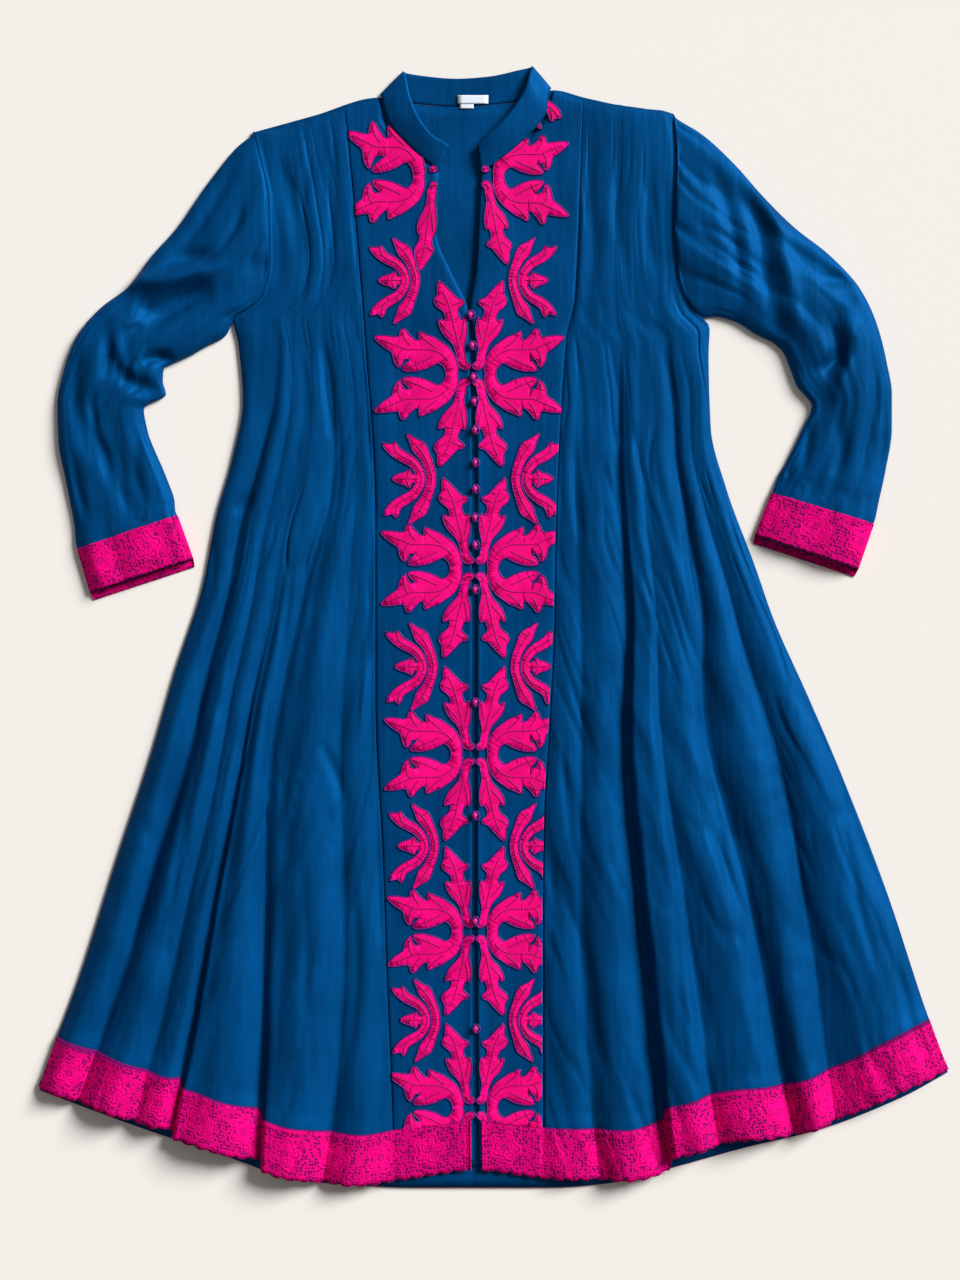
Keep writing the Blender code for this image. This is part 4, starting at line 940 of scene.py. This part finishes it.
def mirrored(blades):
    return tuple(tuple((x, -y, half) for x, y, half in blade) for blade in blades)


SCROLL = (*SCROLL_ARM, *mirrored(SCROLL_ARM))
BIG_LEAVES = (SCROLL, UP_LEAF, mirrored(UP_LEAF))
FIRST_SCROLLS = [
    tuple(tuple((x, y * (up if y > 0 else down), half) for x, y, half in blade) for blade in SCROLL)
    for up, down in FIRST_SPREAD
]
HANGING_LEAVES = [
    tuple(tuple((x * wide, y * tall, half) for x, y, half in blade) for blade in mirrored(UP_LEAF))
    for wide, tall in FIRST_HANG
]
SPRIG_LEAVES = (SPRIG_BACK, SPRIG_FRONT)
SHAPES = {}


def shape_of(blades):
    """Shape of a leaf, worked out once and kept."""
    if blades not in SHAPES:
        SHAPES[blades] = leaf_shape(blades)
    return SHAPES[blades]


def on_front(points, side, y, scale):
    """Points of a leaf in millimetres, placed on the left or right front."""
    centre = float(smooth(LEFT_AXIS if side < 0 else RIGHT_AXIS, y))
    wide = scale * (LEFT_REACH if side < 0 else 1)
    return np.stack([centre + side * points[:, 0] * wide, y + points[:, 1] * scale], axis=1)


def patch_mesh(name, place, triangles, inside):
    """Patch of cloth on the centre front, a little raised inside its outline."""
    top = lifted_height(place[:, 0], place[:, 1]) + PATCH_RIM + 0.4 * (1 - np.exp(-inside / 1.5))
    mesh = bpy.data.meshes.new(name)
    mesh.from_pydata([tuple(point) for point in np.column_stack([place, top]) * MM], [], triangles)
    work = bmesh.new()
    work.from_mesh(mesh)
    bmesh.ops.recalc_face_normals(work, faces=work.faces)
    if sum(face.normal.z for face in work.faces) < 0:
        bmesh.ops.reverse_faces(work, faces=work.faces)
    work.to_mesh(mesh)
    work.free()
    return mesh


def helper(name, mesh):
    """Object that holds a mesh while a modifier changes it."""
    holder = bpy.data.objects.new(name, mesh)
    bpy.context.scene.collection.objects.link(holder)
    return holder


def applied(holder):
    """Plain mesh of a helper with its modifiers, which are removed with it."""
    mesh = bpy.data.meshes.new_from_object(holder.evaluated_get(bpy.context.evaluated_depsgraph_get()))
    holder.modifiers.clear()
    bpy.data.objects.remove(holder)
    return mesh


def cord_tree(name):
    """Geometry nodes that sweep a round thread along each chain of edges."""
    found = bpy.data.node_groups.get(name)
    if found:
        return found
    tree = bpy.data.node_groups.new(name, "GeometryNodeTree")
    for name, way, kind in (
        ("Geometry", "INPUT", "Geometry"), ("Radius", "INPUT", "Float"), ("Step", "INPUT", "Float"),
        ("Sides", "INPUT", "Int"), ("Thread", "INPUT", "Material"), ("Geometry", "OUTPUT", "Geometry"),
    ):
        tree.interface.new_socket(name, in_out=way, socket_type=f"NodeSocket{kind}")
    made = {key: tree.nodes.new(kind) for key, kind in (
        ("in", "NodeGroupInput"), ("curve", "GeometryNodeMeshToCurve"), ("even", "GeometryNodeResampleCurve"),
        ("round", "GeometryNodeCurvePrimitiveCircle"), ("sweep", "GeometryNodeCurveToMesh"),
        ("real", "GeometryNodeRealizeInstances"), ("look", "GeometryNodeSetMaterial"),
        ("out", "NodeGroupOutput"),
    )}
    made["even"].mode = "LENGTH"
    made["sweep"].inputs["Fill Caps"].default_value = True
    for a, a_socket, b, b_socket in (
        ("in", "Geometry", "curve", "Mesh"), ("curve", "Curve", "even", "Curve"),
        ("in", "Step", "even", "Length"),
        ("in", "Radius", "round", "Radius"), ("in", "Sides", "round", "Resolution"),
        ("even", "Curve", "sweep", "Curve"), ("round", "Curve", "sweep", "Profile Curve"),
        ("sweep", "Mesh", "real", "Geometry"), ("real", "Geometry", "look", "Geometry"),
        ("in", "Thread", "look", "Material"), ("look", "Geometry", "out", "Geometry"),
    ):
        tree.links.new(made[a].outputs[a_socket], made[b].inputs[b_socket])
    return tree


def thread_mesh(name, chains, radius, step, look, sides=6):
    """Plain mesh of threads along chains of points in metres. A chain is its points and its edges."""
    points, edges = [], []
    for chain, links in chains:
        first = len(points)
        points.extend(tuple(point) for point in chain)
        edges.extend((first + a, first + b) for a, b in links)
    lines = bpy.data.meshes.new(name)
    lines.from_pydata(points, edges, [])
    holder = helper(name, lines)
    threads = holder.modifiers.new("threads", "NODES")
    threads.node_group = cord_tree("thread_along_edges")
    values = {"Radius": radius, "Step": step, "Sides": sides, "Thread": look}
    for item in threads.node_group.interface.items_tree:
        if item.in_out == "INPUT" and item.name in values:
            threads[item.identifier] = values[item.name]
    return applied(holder)


def joined(name, parts):
    """One mesh from several, with the number of its material for each."""
    work = bmesh.new()
    for number, mesh in parts:
        before = len(work.faces)
        work.from_mesh(mesh)
        work.faces.ensure_lookup_table()
        for face in work.faces[before:]:
            face.material_index = number
    made = bpy.data.meshes.new(name)
    work.to_mesh(made)
    work.free()
    return made


def above(points, height):
    """Points on the centre front in metres, a height in millimetres above it."""
    level = lifted_height(points[:, 0], points[:, 1]) + height
    return np.column_stack([points, level]) * MM


def cut_to_front(mesh, side, low, high):
    """Cuts a motif off at the panel seam, and at the lace."""
    seam = LEFT_SEAM if side < 0 else RIGHT_SEAM
    work = bmesh.new()
    work.from_mesh(mesh)
    bottom = np.array([float(smooth(seam, low)), low, 0]) * MM
    top = np.array([float(smooth(seam, high)), high, 0]) * MM
    away = np.array([top[1] - bottom[1], bottom[0] - top[0], 0]) * side
    away /= np.linalg.norm(away)
    ends = (-17, -110 if side < 0 else 48)
    lace = [np.array([x, float(smooth(FRONT_HEM, x)) + LACE_BAND - 1, 0]) * MM for x in ends]
    down = np.array([lace[1][1] - lace[0][1], lace[0][0] - lace[1][0], 0])
    down *= -np.sign(down[1]) / np.linalg.norm(down)
    for point, normal in ((bottom - away * 1.2 * MM, away), (lace[0], down)):
        geom = [*work.verts, *work.edges, *work.faces]
        cut = bmesh.ops.bisect_plane(work, geom=geom, plane_co=point, plane_no=normal, clear_outer=True)
        rim = [item for item in cut["geom_cut"] if isinstance(item, bmesh.types.BMEdge)]
        if rim:
            bmesh.ops.holes_fill(work, edges=rim, sides=0)
    work.to_mesh(mesh)
    work.free()
    return mesh


def solid_patch(mesh):
    """The patch with a wall of its own thickness below it."""
    holder = helper("patch", mesh)
    wall = holder.modifiers.new("wall", "SOLIDIFY")
    wall.thickness = sizes().patch
    wall.offset = -1
    return applied(holder)


def in_line(count):
    return [(k, k + 1) for k in range(count - 1)]


def motif(name, leaves, side, y, scale, node, extras=()):
    """One motif: patches of pink cloth, stitched outlines and veins, and a dark ring of painted shadow round
    each patch. Extras are leaves of the row above.
    """
    size = sizes()
    outline_look = thread_look("outline_thread", tuple(colours().outline), 900)
    # Painted shadow: a dark tube in darkened satin colour round each patch's rim, standing in for the shade
    # that the raised patch casts
    painted_shadow_look = thread_look("painted_shadow_ring", shade(tuple(colours().satin), 0.22), 900)
    vein_look = thread_look("vein_thread", tuple(colours().vein), 1200)
    parts, outlines, painted_shadows, veins = [], [], [], []
    for blades, at_y in [*((leaf, y) for leaf in leaves), *extras]:
        place, triangles, rim, inside = shape_of(blades)
        place = on_front(place, side, at_y, scale)
        parts.append((0, solid_patch(patch_mesh(name, place, triangles, inside))))
        outlines.append((above(place, OUTLINE_HEIGHT), rim))
        painted_shadows.append((above(place, PAINTED_SHADOW_HEIGHT), rim))
        for blade in blades:
            spine = along_blade(blade)[:, :2]
            spine = spine[len(spine) // 6: -len(spine) // 7]
            spine = on_front(spine, side, at_y, scale)
            veins.append((above(spine, VEIN_HEIGHT), in_line(len(spine))))
    parts.append((1, thread_mesh(name, outlines, size.outline, 0.0018, outline_look)))
    parts.append((2, thread_mesh(name, veins, size.vein, 0.0025, vein_look, sides=4)))
    # Dark tube of painted shadow round each patch's outline, partly hidden under the patch
    parts.append((3, thread_mesh(name, painted_shadows, 2.6 * size.outline, 0.002, painted_shadow_look, sides=5)))
    mesh = cut_to_front(joined(name, parts), side, y - 60, y + 60)
    return add_piece(name, mesh, [applique_look(), outline_look, vein_look, painted_shadow_look], "applique", node)


class KAFTAN_OT_back(bpy.types.Operator):
    """Back of the dress and the lace under its hem"""

    bl_idname = "kaftan.back"
    bl_label = "Back"

    def execute(self, context):
        corners = np.array([x for x, _ in BACK_TOP_EDGE], float)
        share = np.linspace(0, 1, 90)
        top_x = corners[0] + (corners[-1] - corners[0]) * share
        hem = smooth(BACK_HEM, BACK_HEM[0][0] + (BACK_HEM[-1][0] - BACK_HEM[0][0]) * share)
        top_y = smooth(BACK_TOP_EDGE, top_x)
        y = top_y + (hem - top_y) * np.linspace(0, 1, 110)[:, None]
        left, right = smooth(LEFT_EDGE, y[:, 0]), smooth(RIGHT_EDGE, y[:, -1])
        x = left[:, None] + (right - left)[:, None] * share
        lift = lace_rise(y - y[-1:], BACK_LACE_BAND)
        inside = ease(60, 30, np.abs(x + 22)) * ease(300, 330, y) * ease(505, 480, y)
        z = BACK_TOP + lift + 0.25 * inside * soft_noise(x / 16, y / 40, 51)
        back = cloth("back", np.stack([x, y, z], axis=2), satin_look(), "satin", ["back_panel"], 1.0)
        along = BACK_HEM[0][0] + (BACK_HEM[-1][0] - BACK_HEM[0][0]) * np.linspace(0, 1, 280)
        low = smooth(BACK_HEM, along) - 0.9
        up = np.linspace(BACK_LACE_BAND, 0, 12)[:, None]
        grid = np.stack([along * (1 - 0.001 * up), low + up, np.full((12, 280), 1.0)], axis=2)
        band = band_map(grid)
        lace = cloth("back_hem_lace", grid, lace_look(), "lace", ["hem_lace_back"], 0.8, band=band)
        return {"FINISHED"}


FRONTS = {}
# Rows of the lace that the cloth runs under
UNDER_LACE_ROWS = 2


def front_grids():
    """Points of the four fronts, made once and kept, with all their columns running left to right."""
    if not FRONTS:
        FRONTS["side_left"] = side_front(LEFT_EDGE, LEFT_SEAM, (470, 493), LEFT_FOLDS, LEFT_CREASES, 11)
        right = side_front(RIGHT_EDGE, RIGHT_SEAM, (487, 500), RIGHT_FOLDS, RIGHT_CREASES, 17)
        FRONTS["side_right"] = right[:, ::-1]
        FRONTS["centre_left"] = centre_front(LEFT_SEAM, LEFT_FRONT, (493, 502))
        FRONTS["centre_right"] = centre_front(RIGHT_SEAM, RIGHT_FRONT, (500, 510))[:, ::-1]
    return FRONTS


class KAFTAN_OT_fronts(bpy.types.Operator):
    """Side fronts with their folds, and the smooth centre fronts"""

    bl_idname = "kaftan.fronts"
    bl_label = "Fronts"

    def execute(self, context):
        grids = front_grids()
        for side in ("left", "right"):
            for part, flat, area in (("side", (0.40, 0.98), 0.24), ("centre", (0.125, 1.02), 0.082)):
                front = cloth(
                    f"{part}_front_cloth_{side}", grids[f"{part}_{side}"][:-UNDER_LACE_ROWS],
                    satin_look(), "satin", [f"{part}_front_{side}"],
                )
        y = np.linspace(286, -511, 160)
        middle = smooth(CENTRE_LINE, y)
        z = BACK_TOP + 1.3 + 1.3 * ease(-455, -468, y)
        lines = [np.stack([middle + half, y, z], axis=1) for half in np.linspace(-5.5, 5.5, 6)]
        strip = np.stack(lines, axis=1)
        placket = cloth("placket_cloth", strip, satin_look(), "satin", ["placket_strip"])
        return {"FINISHED"}


class KAFTAN_OT_hem_lace(bpy.types.Operator):
    """Lace bands on the front hem, open at the centre line"""

    bl_idname = "kaftan.hem_lace"
    bl_label = "Hem lace"

    def execute(self, context):
        grids = front_grids()
        count = len(row_depths(sizes().row_step / MM))
        for side, order, end, gap in (
            ("left", ("side_left", "centre_left"), -1, 3.0),
            ("right", ("centre_right", "side_right"), 0, -3.0),
        ):
            parts = [(grids[key] + normals(grids[key]) * 0.9)[-count:] for key in order]
            grid = np.concatenate([parts[0][:, :-1], parts[1]], axis=1)
            grid[:, end, 0] -= gap
            grid = finer(grid)
            band = band_map(grid)
            grid = scalloped(grid, band)
            nodes = [f"hem_lace_front_{side}"]
            made = cloth(f"front_hem_lace_{side}", grid, lace_look(), "lace", nodes, 0.6, band=band)
        return {"FINISHED"}


class KAFTAN_OT_sleeves(bpy.types.Operator):
    """Long sleeves bent at the elbow, with their lace cuffs"""

    bl_idname = "kaftan.sleeves"
    bl_label = "Sleeves"

    def execute(self, context):
        grids = front_grids()
        for side, rows, cuff, edge, creases, outward, seed in (
            ("left", LEFT_SLEEVE, LEFT_CUFF, grids["side_left"][:, 0], LEFT_SLEEVE_CREASES, -1, 61),
            ("right", RIGHT_SLEEVE, RIGHT_CUFF, grids["side_right"][:, -1], RIGHT_SLEEVE_CREASES, 1, 67),
        ):
            grid, cuff_ring = sleeve(rows, cuff, edge, creases, outward, seed)
            if outward > 0:
                grid = grid[:, ::-1]
            nodes = [f"sleeve_{side}"]
            satin = grid[:-CUFF_SATIN_SHORT]
            made = cloth(f"sleeve_cloth_{side}", satin, satin_look(), "satin", nodes, ring=True)
            band_rings = moved_out(grid[cuff_ring + CUFF_LACE_START:], 0.7)
            length = np.cumsum(np.linalg.norm(np.diff(band_rings[-1], axis=0), axis=1))
            along = np.concatenate([[0], length])
            down = np.linalg.norm(band_rings - band_rings[-1:], axis=2)
            band = np.stack([np.broadcast_to(along, down.shape), down], axis=2)
            lace = cloth(
                f"cuff_lace_band_{side}", band_rings, lace_look(), "lace", [f"cuff_lace_{side}"], 0.5,
                ring=True, band=band,
            )
        return {"FINISHED"}


class KAFTAN_OT_collar(bpy.types.Operator):
    """Stand collar and the blank label in the neck"""

    bl_idname = "kaftan.collar"
    bl_label = "Collar"

    def execute(self, context):
        collar = cloth("collar_cloth", collar_grid(), satin_look(), "satin", ["collar_band"], 1.2)
        parts = []
        for outline, level in ((LABEL, 2.9), (SIZE_TAB, 2.5)):
            mesh = bpy.data.meshes.new("label")
            work = bmesh.new()
            work.faces.new([work.verts.new((x * MM, y * MM, level * MM)) for x, y in outline[::-1]])
            bmesh.ops.subdivide_edges(work, edges=work.edges, cuts=5, use_grid_fill=True)
            work.to_mesh(mesh)
            work.free()
            parts.append((0, solid_patch(mesh)))
        label = plain_look("woven_label", tuple(colours().label), 0.6, 900)
        add_piece("blank_label", joined("blank_label", parts), [label], "label", "neck_label")
        return {"FINISHED"}


class KAFTAN_OT_applique(bpy.types.Operator):
    """Leaf scrolls and sprigs with their stitched outlines and veins"""

    bl_idname = "kaftan.applique"
    bl_label = "Applique"

    # Leaf scrolls and sprigs with their stitched outlines and veins, and a ring of painted shadow round each
    def execute(self, context):
        for side, side_name in ((-1, "left"), (1, "right")):
            for number, (y, size) in enumerate(zip(BIG_ROWS, MOTIF_SCALE), 1):
                name = f"scroll_{side_name}_{number}"
                if number > 1:
                    motif(f"{name}_cloth", BIG_LEAVES, side, y, size, name)
                else:
                    above_it = [(SHOULDER_BITS, 514)] if side > 0 else []
                    leaves = (FIRST_SCROLLS[side > 0], KNOB, HANGING_LEAVES[side > 0])
                    motif(f"{name}_cloth", leaves, side, y, size, name, above_it)
            for number, y in enumerate(SMALL_ROWS, 1):
                name = f"sprig_{side_name}_{number}"
                motif(f"{name}_cloth", SPRIG_LEAVES, side, y, MOTIF_SCALE[number - 1], name)
        return {"FINISHED"}


class KAFTAN_OT_buttons(bpy.types.Operator):
    """Covered buttons down the centre line, each with its loop"""

    bl_idname = "kaftan.buttons"
    bl_label = "Buttons"

    def execute(self, context):
        size = sizes()
        button_look = thread_look("button_cord", tuple(colours().button), 700)
        loop_look = thread_look("loop_cord", tuple(colours().outline), 900)
        for number, y in enumerate(BUTTON_ROWS, 1):
            x = float(smooth(CENTRE_LINE, y))
            z = float(centre_height(np.array(x), np.array(float(y)))) + 2.2
            work = bmesh.new()
            bmesh.ops.create_uvsphere(work, u_segments=24, v_segments=14, radius=size.button)
            for vert in work.verts:
                turn = math.atan2(vert.co.y, vert.co.x)
                swell = 1 + 0.09 * math.sin(4 * turn + 900 * vert.co.z)
                vert.co.x *= swell * BUTTON_SHAPE[0]
                vert.co.y *= swell * BUTTON_SHAPE[1]
                vert.co.z *= BUTTON_SHAPE[2]
            bmesh.ops.translate(work, verts=work.verts, vec=(x * MM, y * MM, z * MM))
            ball = bpy.data.meshes.new("ball")
            work.to_mesh(ball)
            work.free()
            turns = np.linspace(-0.2, math.pi + 0.2, 20)
            arc = np.column_stack([x + 4.6 * np.sin(turns), y + 4.2 * np.cos(turns), np.full(20, z - 1.0)])
            loop = thread_mesh("loop", [(arc * MM, in_line(20))], 0.0006, 0.0008, loop_look, size.loops)
            mesh = joined(f"covered_button_{number:02d}", [(0, ball), (1, loop)])
            add_piece(mesh.name, mesh, [button_look, loop_look], "covered_button", f"button_{number:02d}")
        return {"FINISHED"}


class KAFTAN_OT_stage(bpy.types.Operator):
    """Pale floor, soft lights and a camera that looks straight down"""

    bl_idname = "kaftan.stage"
    bl_label = "Stage"

    def execute(self, context):
        mesh = bpy.data.meshes.new("floor")
        work = bmesh.new()
        bmesh.ops.create_grid(work, x_segments=1, y_segments=1, size=6)
        work.to_mesh(mesh)
        work.free()
        floor = bpy.data.objects.new("floor", mesh)
        floor.location.z = -0.0002
        context.scene.collection.objects.link(floor)
        mesh.materials.append(Look("pale_floor", 0.9, Base_Color=(*colours().floor, 1)).material)
        for name, place, energy, spread in LIGHTS:
            data = bpy.data.lights.new(name, "SUN")
            data.energy = energy
            data.angle = math.radians(spread)
            lamp = bpy.data.objects.new(name, data)
            lamp.rotation_euler = Vector(place).to_track_quat("Z", "Y").to_euler()
            context.scene.collection.objects.link(lamp)
        world = bpy.data.worlds.new("soft_light")
        world.use_nodes = True
        world.node_tree.nodes["Background"].inputs["Color"].default_value = (1.0, 0.98, 0.95, 1)
        world.node_tree.nodes["Background"].inputs["Strength"].default_value = 0.12
        context.scene.world = world
        context.scene.view_settings.view_transform = "Standard"
        camera_data = bpy.data.cameras.new("camera")
        camera_data.sensor_width = 36
        camera_data.lens = 65
        camera = bpy.data.objects.new("camera", camera_data)
        distance = PICTURE_HEIGHT * camera_data.lens / camera_data.sensor_width
        camera.location = (CAMERA_CENTRE[0] * MM, CAMERA_CENTRE[1] * MM, distance)
        context.scene.collection.objects.link(camera)
        context.scene.camera = camera
        return {"FINISHED"}


STEPS = (
    KAFTAN_OT_back, KAFTAN_OT_fronts, KAFTAN_OT_hem_lace, KAFTAN_OT_sleeves, KAFTAN_OT_collar,
    KAFTAN_OT_applique, KAFTAN_OT_buttons, KAFTAN_OT_stage,
)


class KAFTAN_PT_sidebar(bpy.types.Panel):
    """Sizes, colours and building steps of the dress."""

    bl_idname = "KAFTAN_PT_sidebar"
    bl_label = "Kaftan dress"
    bl_space_type = "VIEW_3D"
    bl_region_type = "UI"
    bl_category = "Kaftan"

    def draw(self, context):
        for group in (context.scene.kaftan_sizes, context.scene.kaftan_colours):
            for key in group.__annotations__:
                self.layout.prop(group, key)
        for step in STEPS:
            self.layout.operator(step.bl_idname)


CLASSES = (KaftanSizes, KaftanColours, *STEPS, KAFTAN_PT_sidebar)


def register():
    for made in CLASSES:
        bpy.utils.register_class(made)
    bpy.types.Scene.kaftan_sizes = PointerProperty(type=KaftanSizes)
    bpy.types.Scene.kaftan_colours = PointerProperty(type=KaftanColours)


def unregister():
    del bpy.types.Scene.kaftan_sizes
    del bpy.types.Scene.kaftan_colours
    for made in reversed(CLASSES):
        bpy.utils.unregister_class(made)


def main():
    register()
    for step in STEPS:
        group, action = step.bl_idname.split(".")
        getattr(getattr(bpy.ops, group), action)()


if __name__ == "__main__":
    main()
